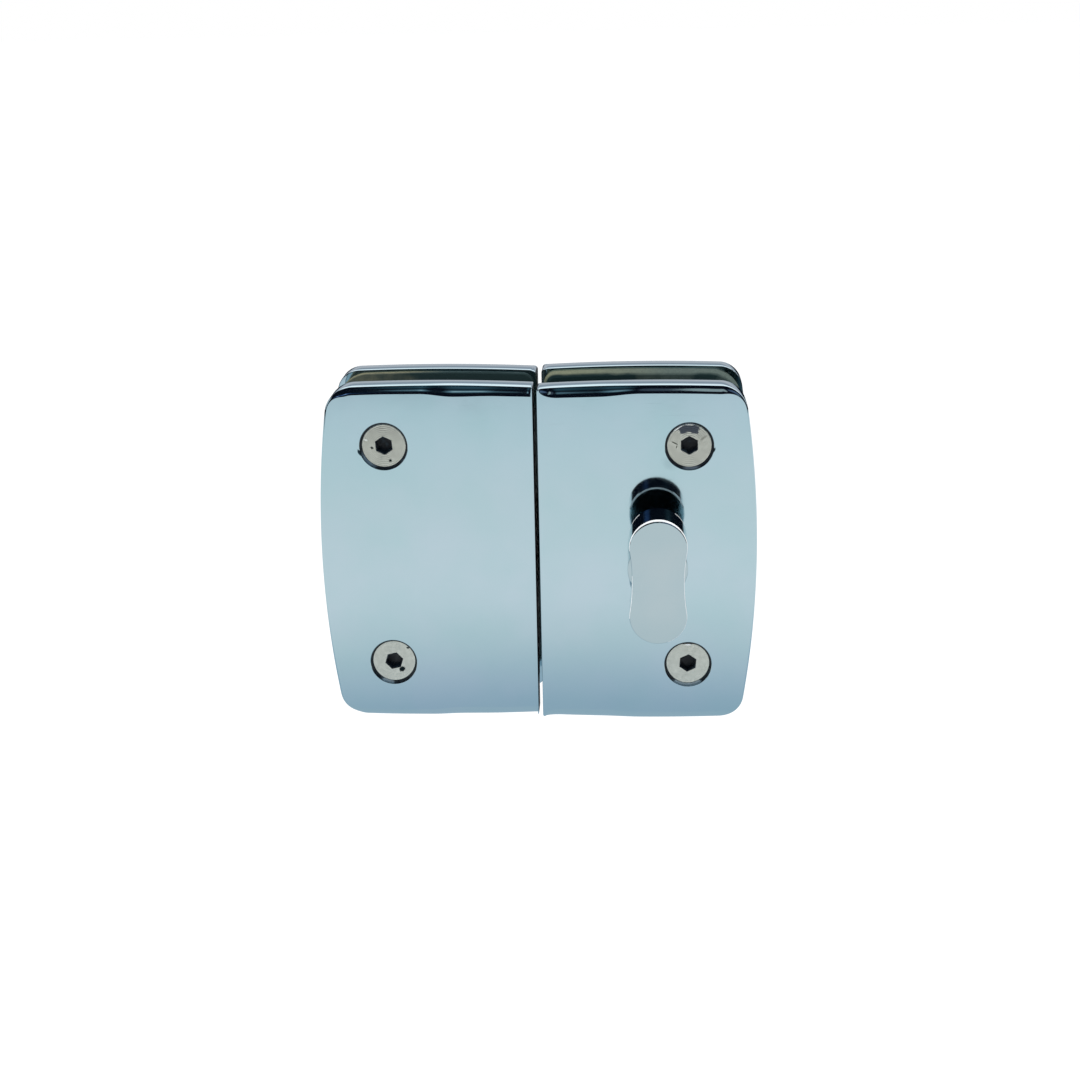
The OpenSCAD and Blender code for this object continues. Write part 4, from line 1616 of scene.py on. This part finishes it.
@dataclass
class ClampScrew:
    """A countersunk clamp screw, whose hexagon socket stands turned by some degrees."""

    name: str
    half: Half
    height: float
    turn: float
    lengths: tuple[float, float] = (25.0, 30.0)
    recess: float = 1.0
    head_r: float = 6.0
    # Width of the face beside the rim that sets the normal at the rim's bevel.
    face_w: float = 3.0
    land: float = 0.4
    shank_r: float = 3.0
    rim_bevel: float = 0.2
    tip_bevel: float = 0.6
    hex_across: float = 4.0
    hex_bevel: float = 0.26
    hex_depth: float = 2.4
    hex_tip: float = 0.5
    side_steps: int = 6

    def make(self) -> bpy.types.Object:
        """Builds the screw.

        Returns:
            The screw's object.
        """
        length = self.half.pick(self.lengths)
        face = self.half.slot / 2 + PLATE_T - self.recess
        seat = Seat.upright((self.half.value * SCREW_X, -face, self.height), 1, -1)
        skin = Skin()
        cone = self.land + self.head_r - self.shank_r
        profile = [
            (self.head_r - self.rim_bevel, 0.0),
            (self.head_r, -self.rim_bevel),
            (self.head_r, -self.land),
            (self.shank_r, -cone),
            (self.shank_r, self.tip_bevel - length),
            (self.shank_r - self.tip_bevel, -length),
            (0.0, -length),
        ]
        beside = (self.head_r - self.face_w, 0.0)
        rim, _ = skin.turned(seat, (0.0, 0.0), profile, before=beside)
        mouth = skin.ring(self.hexagon(seat, self.hex_bevel, 0.0))
        throat = skin.ring(self.hexagon(seat, 0.0, -self.hex_bevel))
        floor = skin.ring(self.hexagon(seat, 0.0, -self.hex_depth))
        skin.flat(seat, seat.out.copy(), rim, [mouth])
        # The socket's walls and floor get the painted shade.
        skin.finish = 1
        self.walls(skin, seat, mouth, throat, 1.0)
        self.walls(skin, seat, throat, floor, 0.0)
        tip = skin.ring([seat.at(0, 0, -self.hex_depth - self.hex_tip)])[0]
        skin.fan(floor, tip, [seat.out] * len(floor), seat.out)
        return skin.build(self.name + "_turned")

    def hexagon(self, seat: Seat, grow: float, height: float) -> list[Vector]:
        """Lays the points of the hexagon, each side in equal steps.

        Args:
            seat: The screw's seat.
            grow: How far its flats lie outside the socket's.
            height: Its height over the head's face.

        Returns:
            The points in metres.
        """
        reach = (self.hex_across / 2 + grow) / math.cos(math.radians(30))
        corners = []
        for k in range(6):
            turn = math.radians(90 + self.turn + 60 * k)
            corners.append((reach * math.cos(turn), reach * math.sin(turn)))
        spots = []
        for a, b in zip(corners, corners[1:] + corners[:1]):
            for i in range(self.side_steps):
                share = i / self.side_steps
                spots.append(
                    seat.at(a[0] + (b[0] - a[0]) * share, a[1] + (b[1] - a[1]) * share, height)
                )
        return spots

    def walls(self, skin: Skin, seat: Seat, low: list[int], high: list[int], lean: float) -> None:
        """Lays the six flat walls between two hexagons.

        Args:
            skin: The screw's skin.
            seat: The screw's seat.
            low: The ring of the outer hexagon.
            high: The ring of the inner hexagon.
            lean: How far the walls' normals lean outwards.
        """
        for k in range(6):
            turn = math.radians(120 + self.turn + 60 * k)
            normal = seat.way(-math.cos(turn), -math.sin(turn), lean)
            for i in range(self.side_steps):
                a = k * self.side_steps + i
                b = (a + 1) % len(low)
                corners = (low[a], low[b], high[b], high[a])
                skin.face(corners, {n: normal for n in corners})


@dataclass
class Thumbturn:
    """The waisted thumbturn head on its round neck, one bright solid."""

    back_y: float = -26.1
    thickness: float = 11.4
    end_r: float = 7.55
    end_z: float = 9.45
    waist_r: float = 52.36
    waist_c: float = 59.16
    waist_turn: float = 9.08
    front_bevel: float = 0.72
    back_bevel: float = 0.3
    # Share of the front bevel that is left below, and how fast it grows upwards.
    bevel_share: float = 0.2
    bevel_growth: float = 1.2
    highlight_strip: float = 0.7
    # Where the edge gets the painted highlight, by the share of the edge's normal that points up
    # or right.
    highlight_front_up: float = -0.05
    highlight_front_right: float = 0.3
    highlight_strip_up: tuple[float, float] = (0.2, 0.8)
    highlight_back_up: float = 0.25
    end_steps: int = 60
    waist_steps: int = 18
    neck_r: float = 8.0
    neck_edge: float = 0.1
    neck_root: float = 1.0
    neck_end: float = 9.2
    journal_r: float = 6.0
    journal_end: float = 17.2
    grub_r: float = 2.05
    grub_down: float = 4.7
    grub_depth: float = 6.0
    grub_lead: float = 1.0
    grub_facets: int = 48

    def seat(self) -> Seat:
        """The head's seat: its back face, with the height towards the front."""
        return Seat.upright((KNOB_X, self.back_y, 0), 1, -1)

    def outline(self) -> list[Station]:
        """Lays the head's outline: two round ends and two hollow sides.

        Returns:
            The stations, anticlockwise from the right of the upper end.
        """
        tip, top, side, steps = self.waist_turn, self.end_z, self.waist_c, self.waist_steps
        laid = arc((0.0, top), self.end_r, -tip, 180 + tip, self.end_steps)[:-1]
        laid += arc((-side, 0.0), self.waist_r, tip, -tip, steps, hollow=True)[:-1]
        laid += arc((0.0, -top), self.end_r, 180 - tip, 360 + tip, self.end_steps)[:-1]
        laid += arc((side, 0.0), self.waist_r, 180 + tip, 180 - tip, steps, hollow=True)[:-1]
        return laid

    def bevel_at(self, station: Station) -> float:
        """Returns the front bevel; it is widest at the upper end, where the painted highlight is
        widest.
        """
        upwards = max(0.0, station.nv) ** self.bevel_growth
        return self.front_bevel * (self.bevel_share + (1 - self.bevel_share) * upwards)

    def head(self) -> bpy.types.Object:
        """Builds the waisted head.

        Returns:
            The head's object.
        """
        skin = Skin()
        outline = self.outline()
        rims = [self.bevel_at(station) for station in outline]
        back = self.back_bevel
        slab = Slab(
            self.seat(),
            outline,
            self.thickness,
            back,
            back,
            rims,
            EdgeForm.BEVEL,
            strip=self.highlight_strip,
        )
        back_ring, front_ring = slab.wrap(skin)
        # The bevels and the strip that face up or to the right get the painted highlight.
        for number in range(len(skin.faces)):
            row, spot = divmod(number, len(outline))
            skin.finishes[number] = int(self.highlighted(EdgeRow(row), outline[spot]))
        skin.flat(slab.seat, slab.seat.out.copy(), front_ring, [])
        skin.flat(slab.seat, -slab.seat.out, back_ring, [])
        return skin.build("thumbturn_knob_polished")

    def highlighted(self, row: EdgeRow, station: Station) -> bool:
        """Tells whether the head's edge gets the painted highlight at a place.

        Args:
            row: The row of faces.
            station: The place on the outline.

        Returns:
            True where it gets the painted highlight.
        """
        if row is EdgeRow.FRONT_BEVEL:
            return station.nv > self.highlight_front_up or station.nu > self.highlight_front_right
        if row is EdgeRow.BACK_STRIP:
            return self.highlight_strip_up[0] < station.nv < self.highlight_strip_up[1]
        return row is EdgeRow.BACK_BEVEL and station.nv > self.highlight_back_up

    def neck(self) -> bpy.types.Object:
        """Builds the neck and the journal, from a little inside the head.

        Returns:
            The neck's object.
        """
        skin = Skin()
        edge = self.neck_edge
        profile = [
            (0.0, self.neck_root),
            (self.neck_r - edge, self.neck_root),
            (self.neck_r, self.neck_root - edge),
            (self.neck_r, edge - self.neck_end),
            (self.neck_r - edge, -self.neck_end),
            (self.journal_r, -self.neck_end),
            (self.journal_r, -self.journal_end),
            (0.0, -self.journal_end),
        ]
        skin.turned(self.seat(), (0.0, 0.0), profile)
        return skin.build("thumbturn_neck")

    def grub_hole(self) -> bpy.types.Object:
        """Builds the cutter of the grub screw's hole.

        Returns:
            The cutter's object.
        """
        skin = Skin()
        seat = Seat(
            Vector((KNOB_X, self.back_y + self.grub_down, -self.neck_r)),
            Vector((1, 0, 0)),
            Vector((0, 1, 0)),
            Vector((0, 0, 1)),
        )
        profile = [
            (0.0, -self.grub_lead),
            (self.grub_r, -self.grub_lead),
            (self.grub_r, self.grub_depth),
            (0.0, self.grub_depth),
        ]
        skin.turned(seat, (0.0, 0.0), profile, steps=self.grub_facets)
        return skin.build("grub_hole")

    def make(self) -> bpy.types.Object:
        """Builds the head, the neck, the journal and the hole of the grub screw.

        Returns:
            The thumbturn's object.
        """
        piece = self.head()
        combine(piece, self.neck(), "UNION")
        combine(piece, self.grub_hole(), "DIFFERENCE")
        return piece


@dataclass
class CoinTurn:
    """The release turn in the back plate, a flush disc with a coin slot."""

    face_y: float = 16.5
    disc_r: float = 10.5
    disc_t: float = 1.9
    rim_bevel: float = 0.2
    # Width of the face beside the rim that sets the normal at the rim's bevel.
    face_w: float = 4.0
    journal_r: float = 6.0
    journal_end: float = 7.6
    slot_w: float = 2.2
    slot_l: float = 15.0
    slot_t: float = 1.1
    slot_steps: int = 10

    def make(self) -> bpy.types.Object:
        """Builds the release turn.

        Returns:
            The release turn's object.
        """
        seat = Seat.upright((KNOB_X, self.face_y, 0), 1, 1)
        skin = Skin()
        profile = [
            (self.disc_r - self.rim_bevel, 0.0),
            (self.disc_r, -self.rim_bevel),
            (self.disc_r, -self.disc_t),
            (self.journal_r, -self.disc_t),
            (self.journal_r, -self.journal_end),
            (0.0, -self.journal_end),
        ]
        beside = (self.disc_r - self.face_w, 0.0)
        rim, _ = skin.turned(seat, (0.0, 0.0), profile, before=beside)
        mouth = skin.ring(self.slot_points(seat, 0.0))
        floor = skin.ring(self.slot_points(seat, -self.slot_t))
        skin.flat(seat, seat.out.copy(), rim, [mouth])
        # The coin slot's floor and walls get the painted shade.
        skin.finish = 1
        skin.flat(seat, seat.out.copy(), floor, [])
        half_w, half_l = self.slot_w / 2, self.slot_l / 2
        for i in range(len(mouth)):
            j = (i + 1) % len(mouth)
            a = skin.plan_of(seat, mouth[i])
            b = skin.plan_of(seat, mouth[j])
            middle = (a + b) / 2
            long_side = abs(abs(middle.x) - half_w) < abs(abs(middle.y) - half_l)
            normal = seat.way(-math.copysign(1, middle.x), 0, 0)
            if not long_side:
                normal = seat.way(0, -math.copysign(1, middle.y), 0)
            corners = (mouth[i], mouth[j], floor[j], floor[i])
            skin.face(corners, {n: normal for n in corners})
        return skin.build("release_turn_polished")

    def slot_points(self, seat: Seat, height: float) -> list[Vector]:
        """Lays the slot's rectangle, its long sides in equal steps.

        Args:
            seat: The turn's seat.
            height: The rectangle's height over the disc's face.

        Returns:
            The points in metres.
        """
        half_w, half_l, steps = self.slot_w / 2, self.slot_l / 2, self.slot_steps
        places = [self.slot_l * i / steps - half_l for i in range(steps + 1)]
        right = [seat.at(half_w, v, height) for v in places]
        left = [seat.at(-half_w, -v, height) for v in places]
        return right + left


@dataclass
class LockSet:
    """The whole lock: the fine pieces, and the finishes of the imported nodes."""

    finishes: Finishes

    def show(
        self,
        piece: bpy.types.Object,
        node: str,
        body: str,
        finish: bpy.types.Material,
    ) -> None:
        """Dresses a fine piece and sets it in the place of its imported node.

        Args:
            piece: The fine piece.
            node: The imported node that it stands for.
            body: The body that it rides on.
            finish: Its material.
        """
        self.finishes.dress(piece, finish)
        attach(piece, body)
        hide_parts(node)
        log.info("%s: %d faces in place of %s", piece.name, len(piece.data.polygons), node)

    def make_plates(self) -> None:
        """Makes the four cover plates."""
        for half in Half:
            for cover in Cover:
                plate = CoverPlate(half, cover)
                self.show(
                    plate.make(), plate.name, "lock_set", self.finishes.chrome
                )

    def make_gaskets(self) -> None:
        """Makes the four gaskets, thin ones in the keeper half."""
        for half in Half:
            finish = self.finishes.thin_gasket if half is Half.KEEPER else self.finishes.gasket
            for cover in Cover:
                gasket = Gasket(half, cover)
                self.show(gasket.make(), gasket.name, "lock_set", finish)

    def make_screws(self) -> None:
        """Makes the four clamp screws, each turned as it was left."""
        screws = (
            ClampScrew("keeper_upper_screw", Half.KEEPER, SCREW_Z, 4.0),
            ClampScrew("keeper_lower_screw", Half.KEEPER, -SCREW_Z, -17.0),
            ClampScrew("lock_upper_screw", Half.LOCK, SCREW_Z, 1.0),
            ClampScrew("lock_lower_screw", Half.LOCK, -SCREW_Z, -5.0),
        )
        for screw in screws:
            self.show(screw.make(), screw.name, "lock_set", self.finishes.screw)

    def make_turns(self) -> None:
        """Makes the thumbturn and the release turn."""
        self.show(
            Thumbturn().make(), "thumbturn_knob", "turn", self.finishes.handled
        )
        self.show(
            CoinTurn().make(), "release_turn", "turn", self.finishes.chrome
        )

    def dress_nodes(self) -> None:
        """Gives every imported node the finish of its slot, replaced or not."""
        by_slot = {
            "case_brass": self.finishes.brass,
            "inner_steel": self.finishes.steel,
            "dark_steel": self.finishes.dark,
            "gasket_fibre": self.finishes.gasket,
            "nylon": self.finishes.nylon,
            "polished_chrome": self.finishes.chrome,
            "screw_steel": self.finishes.screw,
        }
        slots = {row["node"]: row["material_slot"] for row in frame["record"]["subparts"]}
        for name, node in sorted(frame["nodes"].items()):
            finish = by_slot[slots[name]]
            self.finishes.dress(node, finish)
            log.info("%s: finish %s", name, slots[name])


@dataclass(frozen=True)
class Glow:
    """A soft light in the dark part of the mirrored room.

    Its place and half size are a share of X and a share of the sweep from the horizon
    behind, over the top, to the horizon in front.
    """

    place: tuple[float, float]
    half: tuple[float, float]
    core: str
    core_strength: float
    halo: str
    halo_strength: float
    core_share: float = 0.3


@dataclass
class Studio:
    """The pale floor, the room that the chrome mirrors, the lamp and the camera."""

    floor_z: float = -0.30
    floor_half: float = 14.0
    floor_color: str = "#F4F5F6"
    floor_lift: float = 0.12
    # The floor's colours are laid out over this distance.
    board_reach: float = 2.0
    key_watts: float = 4.0
    key_size: float = 0.6
    key_place: tuple[float, float, float] = (-0.25, -0.5, 0.9)
    # The photo's camera, as fitted: its lens, its place, and how far it looks down, turns
    # to the right and rolls anticlockwise, in degrees.
    lens_mm: float = 58.92
    lens_shift: tuple[float, float] = (-0.00366, 0.01837)
    camera_place: tuple[float, float, float] = (0.0264, -0.4725, 0.1514)
    camera_turns: tuple[float, float, float] = (18.41, -3.10, -1.14)
    room_dark: str = "#0B101B"
    glows: tuple[Glow, ...] = (
        Glow((-0.095, 0.77), (0.065, 0.10), "#DCEDEC", 1.0, "#7A9AA6", 0.8, core_share=0.3),
        Glow((-0.10, 0.50), (0.09, 0.20), "#44606A", 0.9, "#2A434B", 0.8, core_share=0.5),
        Glow((-0.30, 0.915), (0.16, 0.035), "#B4CCF2", 2.2, "#4C6FA8", 0.9, core_share=0.35),
        Glow((0.38, 0.905), (0.24, 0.05), "#7E9AA0", 2.0, "#4A6268", 1.3, core_share=0.4),
        Glow((0.016, 0.76), (0.03, 0.13), "#4A505A", 1.0, "#3C424C", 0.9, core_share=0.7),
        Glow((0.063, 0.76), (0.027, 0.13), "#B0B8B6", 1.0, "#9AA2A0", 1.0, core_share=0.88),
        Glow((0.44, 0.72), (0.34, 0.15), "#6C7C96", 0.9, "#56667E", 0.8, core_share=0.8),
    )
    strip_end: float = -0.42
    wall_start: float = -0.78
    wall_rise: tuple[float, float] = (0.12, 0.2)
    wall_color: str = "#E2EDF2"
    # Share of X over which the strip and the wall fade in.
    border: float = 0.1

    def room(self) -> None:
        """Makes the world: plain white light, and a room that only mirrors show."""
        world = bpy.data.worlds.new("studio_room")
        bpy.context.scene.world = world
        world.use_nodes = True
        tree = world.node_tree
        tree.nodes.clear()
        way = add_node(tree, "TexCoord").outputs["Generated"]
        parts = add_node(tree, "SeparateXYZ", {"Vector": way})
        rise = add_node(tree, "Math", {0: parts.outputs["Z"]}, operation="ABSOLUTE")
        # 0 at the horizon behind the lock, a half overhead, 1 at the horizon in front.
        sweep = add_node(tree, "Math", {
            0: rise.outputs["Value"], 1: parts.outputs["Y"],
        }, operation="ARCTAN2")
        share = add_node(tree, "Math", {
            0: sweep.outputs["Value"], 1: 1 / math.pi,
        }, operation="MULTIPLY")
        ramp = add_node(tree, "ValToRGB", {"Fac": share.outputs["Value"]})
        # Share of the sweep, colour and strength: the ground behind, its far edge, the
        # white ceiling strip and the dark room in front.
        stops = (
            (0.0, "#98A4B0", 1.0),
            (0.045, "#CBCBD0", 1.0),
            (0.065, "#B5B8C0", 1.0),
            (0.085, "#929CA8", 1.0),
            (0.100, "#B4BCC6", 1.0),
            (0.118, "#FFFFFF", 1.4),
            (0.30, "#FFFFFF", 1.4),
            (0.325, self.room_dark, 1.0),
            (1.0, self.room_dark, 1.0),
        )
        self.fill_ramp(ramp.color_ramp, stops)
        spot = add_node(tree, "CombineXYZ", {
            "X": parts.outputs["X"], "Y": share.outputs["Value"],
        })
        # The white ceiling strip ends to the left of the lock.
        along = add_node(tree, "MapRange", {
            "Value": parts.outputs["X"], "From Min": self.strip_end - self.border,
            "From Max": self.strip_end,
        })
        strip = add_node(tree, "Mix", {
            "Factor": along.outputs["Result"], 6: linear(self.room_dark),
            7: ramp.outputs["Color"],
        }, data_type="RGBA")
        # Beyond it stands a pale wall.
        beside = add_node(tree, "MapRange", {
            "Value": parts.outputs["X"], "From Min": self.wall_start,
            "From Max": self.wall_start - self.border,
        })
        ahead = add_node(tree, "MapRange", {
            "Value": share.outputs["Value"], "From Min": self.wall_rise[0],
            "From Max": self.wall_rise[1],
        })
        walled = add_node(tree, "Math", {
            0: beside.outputs["Result"], 1: ahead.outputs["Result"],
        }, operation="MULTIPLY")
        side = add_node(tree, "Mix", {
            "Factor": walled.outputs["Value"], 6: strip.outputs[2], 7: linear(self.wall_color),
        }, data_type="RGBA")
        color = side.outputs[2]
        for glow in self.glows:
            color = self.lit_by(tree, spot.outputs["Vector"], color, glow)
        mirror = add_node(tree, "Background", {"Color": color})
        plain = add_node(tree, "Background", {"Color": (1, 1, 1, 1)})
        light = add_node(tree, "LightPath")
        mixed = add_node(tree, "MixShader", {
            0: light.outputs["Is Glossy Ray"], 1: plain.outputs[0], 2: mirror.outputs[0],
        })
        add_node(tree, "OutputWorld", {"Surface": mixed.outputs[0]})

    def lit_by(
        self,
        tree: bpy.types.NodeTree,
        spot: bpy.types.NodeSocket,
        color: bpy.types.NodeSocket,
        glow: Glow,
    ) -> bpy.types.NodeSocket:
        """Adds one glow to the room's colour.

        Args:
            tree: The world's node tree.
            spot: The direction as shares of X and of the sweep.
            color: The colour so far.
            glow: The glow to add.

        Returns:
            The colour with the glow.
        """
        near = add_node(tree, "Mapping", {
            "Vector": spot, "Location": (*glow.place, 0.0), "Scale": (*glow.half, 1.0),
        }, vector_type="TEXTURE")
        away = add_node(tree, "VectorMath", {0: near.outputs["Vector"]}, operation="LENGTH")
        fall = add_node(tree, "ValToRGB", {"Fac": away.outputs["Value"]})
        stops = (
            (0.0, glow.core, glow.core_strength),
            (glow.core_share, glow.halo, glow.halo_strength),
            (1.0, "#000000", 1.0),
        )
        self.fill_ramp(fall.color_ramp, stops)
        lit = add_node(tree, "Mix", {
            "Factor": 1.0, 6: color, 7: fall.outputs["Color"],
        }, data_type="RGBA", blend_type="ADD")
        return lit.outputs[2]

    def fill_ramp(
        self,
        ramp: bpy.types.ColorRamp,
        stops: tuple[tuple[float, str, float], ...],
    ) -> None:
        """Sets the stops of a colour ramp.

        Args:
            ramp: The ramp.
            stops: For each stop, its place, its colour and its strength.
        """
        while len(ramp.elements) < len(stops):
            ramp.elements.new(0.5)
        for element, (place, _, _) in zip(ramp.elements, stops):
            element.position = place
        for element, (_, color, strength) in zip(ramp.elements, stops):
            element.color = [c * strength for c in linear(color)[:3]] + [1.0]

    def floor(self) -> None:
        """Lays the pale floor, which keeps the shadow and is white to the camera."""
        skin = Skin()
        seat = Seat(
            Vector((0, 0, self.floor_z / MM)),
            Vector((1, 0, 0)),
            Vector((0, 1, 0)),
            Vector((0, 0, 1)),
        )
        edge = self.floor_half / MM
        corners = ((-1, -1), (1, -1), (1, 1), (-1, 1))
        ring = skin.ring([seat.at(u * edge, v * edge, 0) for u, v in corners])
        skin.flat(seat, seat.out.copy(), ring, [])
        piece = skin.build("studio_floor")
        piece.data.materials.append(self.floor_material())

    def floor_material(self) -> bpy.types.Material:
        """Makes the floor's painted-board material.

        Returns:
            The material.
        """
        made = bpy.data.materials.new("painted_studio_floor")
        made.use_nodes = True
        tree = made.node_tree
        tree.nodes.clear()
        place = add_node(tree, "TexCoord").outputs["Object"]
        # What the chrome mirrors: a pale board round the lock, bluer and darker close by as a
        # painted shadow of the lock, and the board's edge with the dark of the room beyond it,
        # nearest in front and behind.
        close = self.board_ramp(
            tree,
            place,
            Vector((0, 0)),
            1.0,
            (
                (0.50, "#C2D1DB"),
                (0.62, "#BBCCD9"),
                (0.66, "#CFDAE4"),
                (0.735, "#EAF1F2"),
                (0.82, "#FBFDFD"),
                (0.91, "#FFFFFF"),
            ),
        )
        far = self.board_ramp(
            tree,
            place,
            Vector((0.9, 0)),
            0.42,
            (
                (0.97, "#FFFFFF"),
                (1.17, "#F7FBFA"),
                (1.33, "#F0F8F8"),
                (1.50, "#EAF3F5"),
                (1.57, "#E2EAED"),
                (1.68, "#D5E0E6"),
                (1.76, self.room_dark),
            ),
        )
        board_color = add_node(tree, "Mix", {
            "Factor": 1.0, 6: close, 7: far,
        }, data_type="RGBA", blend_type="MULTIPLY")
        mirrored = add_node(tree, "Emission", {"Color": board_color.outputs[2]})
        board = add_node(tree, "BsdfDiffuse", {"Color": linear(self.floor_color)})
        lift = add_node(tree, "Emission", {"Color": (1, 1, 1, 1), "Strength": self.floor_lift})
        seen = add_node(tree, "AddShader", {0: board.outputs[0], 1: lift.outputs[0]})
        light = add_node(tree, "LightPath")
        by_camera = add_node(tree, "MixShader", {
            0: light.outputs["Is Camera Ray"], 1: board.outputs[0], 2: seen.outputs[0],
        })
        by_mirror = add_node(tree, "MixShader", {
            0: light.outputs["Is Glossy Ray"], 1: by_camera.outputs[0], 2: mirrored.outputs[0],
        })
        add_node(tree, "OutputMaterial", {"Surface": by_mirror.outputs[0]})
        return made

    def board_ramp(
        self,
        tree: bpy.types.NodeTree,
        place: bpy.types.NodeSocket,
        centre: Vector,
        squeeze: float,
        rings: tuple[tuple[float, str], ...],
    ) -> bpy.types.NodeSocket:
        """Colours the board by the distance from a centre.

        Args:
            tree: The floor's node tree.
            place: The place on the floor.
            centre: The centre in metres.
            squeeze: Share of the distance along X that counts.
            rings: For each ring, its distance in metres and its colour.

        Returns:
            The colour.
        """
        reach = self.board_reach
        # Stretched so far, the height counts for nothing.
        endless = 1e6
        near = add_node(tree, "Mapping", {
            "Vector": place, "Location": (centre.x, centre.y, 0.0),
            "Scale": (reach / squeeze, reach, endless),
        }, vector_type="TEXTURE")
        away = add_node(tree, "VectorMath", {0: near.outputs["Vector"]}, operation="LENGTH")
        ramp = add_node(tree, "ValToRGB", {"Fac": away.outputs["Value"]})
        stops = tuple((radius / reach, color, 1.0) for radius, color in rings)
        self.fill_ramp(ramp.color_ramp, stops)
        return ramp.outputs["Color"]

    def lamp(self) -> None:
        """Hangs the soft key lamp above and in front; mirrors don't show it."""
        light = bpy.data.lights.new("soft_key", "AREA")
        light.shape = "DISK"
        light.size = self.key_size
        light.energy = self.key_watts
        lamp = bpy.data.objects.new("soft_key", light)
        lamp.location = self.key_place
        # It points at the middle of the lock.
        lamp.rotation_euler = (-lamp.location).to_track_quat("-Z", "Y").to_euler()
        lamp.visible_glossy = False
        bpy.context.scene.collection.objects.link(lamp)

    def camera(self) -> None:
        """Sets the camera where the photo's was."""
        data = bpy.data.cameras.new("photo_camera")
        data.sensor_width = 36.0
        data.lens = self.lens_mm
        data.shift_x, data.shift_y = self.lens_shift
        data.clip_start = 0.01
        data.clip_end = 100.0
        pitch, yaw, roll = (math.radians(angle) for angle in self.camera_turns)
        ahead = Vector(
            (math.sin(yaw) * math.cos(pitch), math.cos(yaw) * math.cos(pitch), -math.sin(pitch))
        )
        level = Vector((math.cos(yaw), -math.sin(yaw), 0))
        upright = level.cross(ahead)
        right = math.cos(roll) * level + math.sin(roll) * upright
        up = -math.sin(roll) * level + math.cos(roll) * upright
        turn = Matrix((right, up, -ahead)).transposed().to_4x4()
        camera = bpy.data.objects.new("photo_camera", data)
        camera.matrix_world = Matrix.Translation(self.camera_place) @ turn
        bpy.context.scene.collection.objects.link(camera)
        bpy.context.scene.camera = camera

    def build(self) -> None:
        """Builds the whole studio."""
        self.camera()
        self.room()
        self.floor()
        self.lamp()
        bpy.context.scene.view_settings.view_transform = "Standard"
        log.info("studio: camera, floor, room and lamp stand")


def main() -> None:
    """Builds the studio and the lock."""
    logging.basicConfig(level=logging.INFO, format="%(name)s %(message)s")
    Studio().build()
    lock = LockSet(Finishes())
    lock.make_plates()
    lock.make_gaskets()
    lock.make_screws()
    lock.make_turns()
    lock.dress_nodes()


if __name__ == "__main__":
    main()
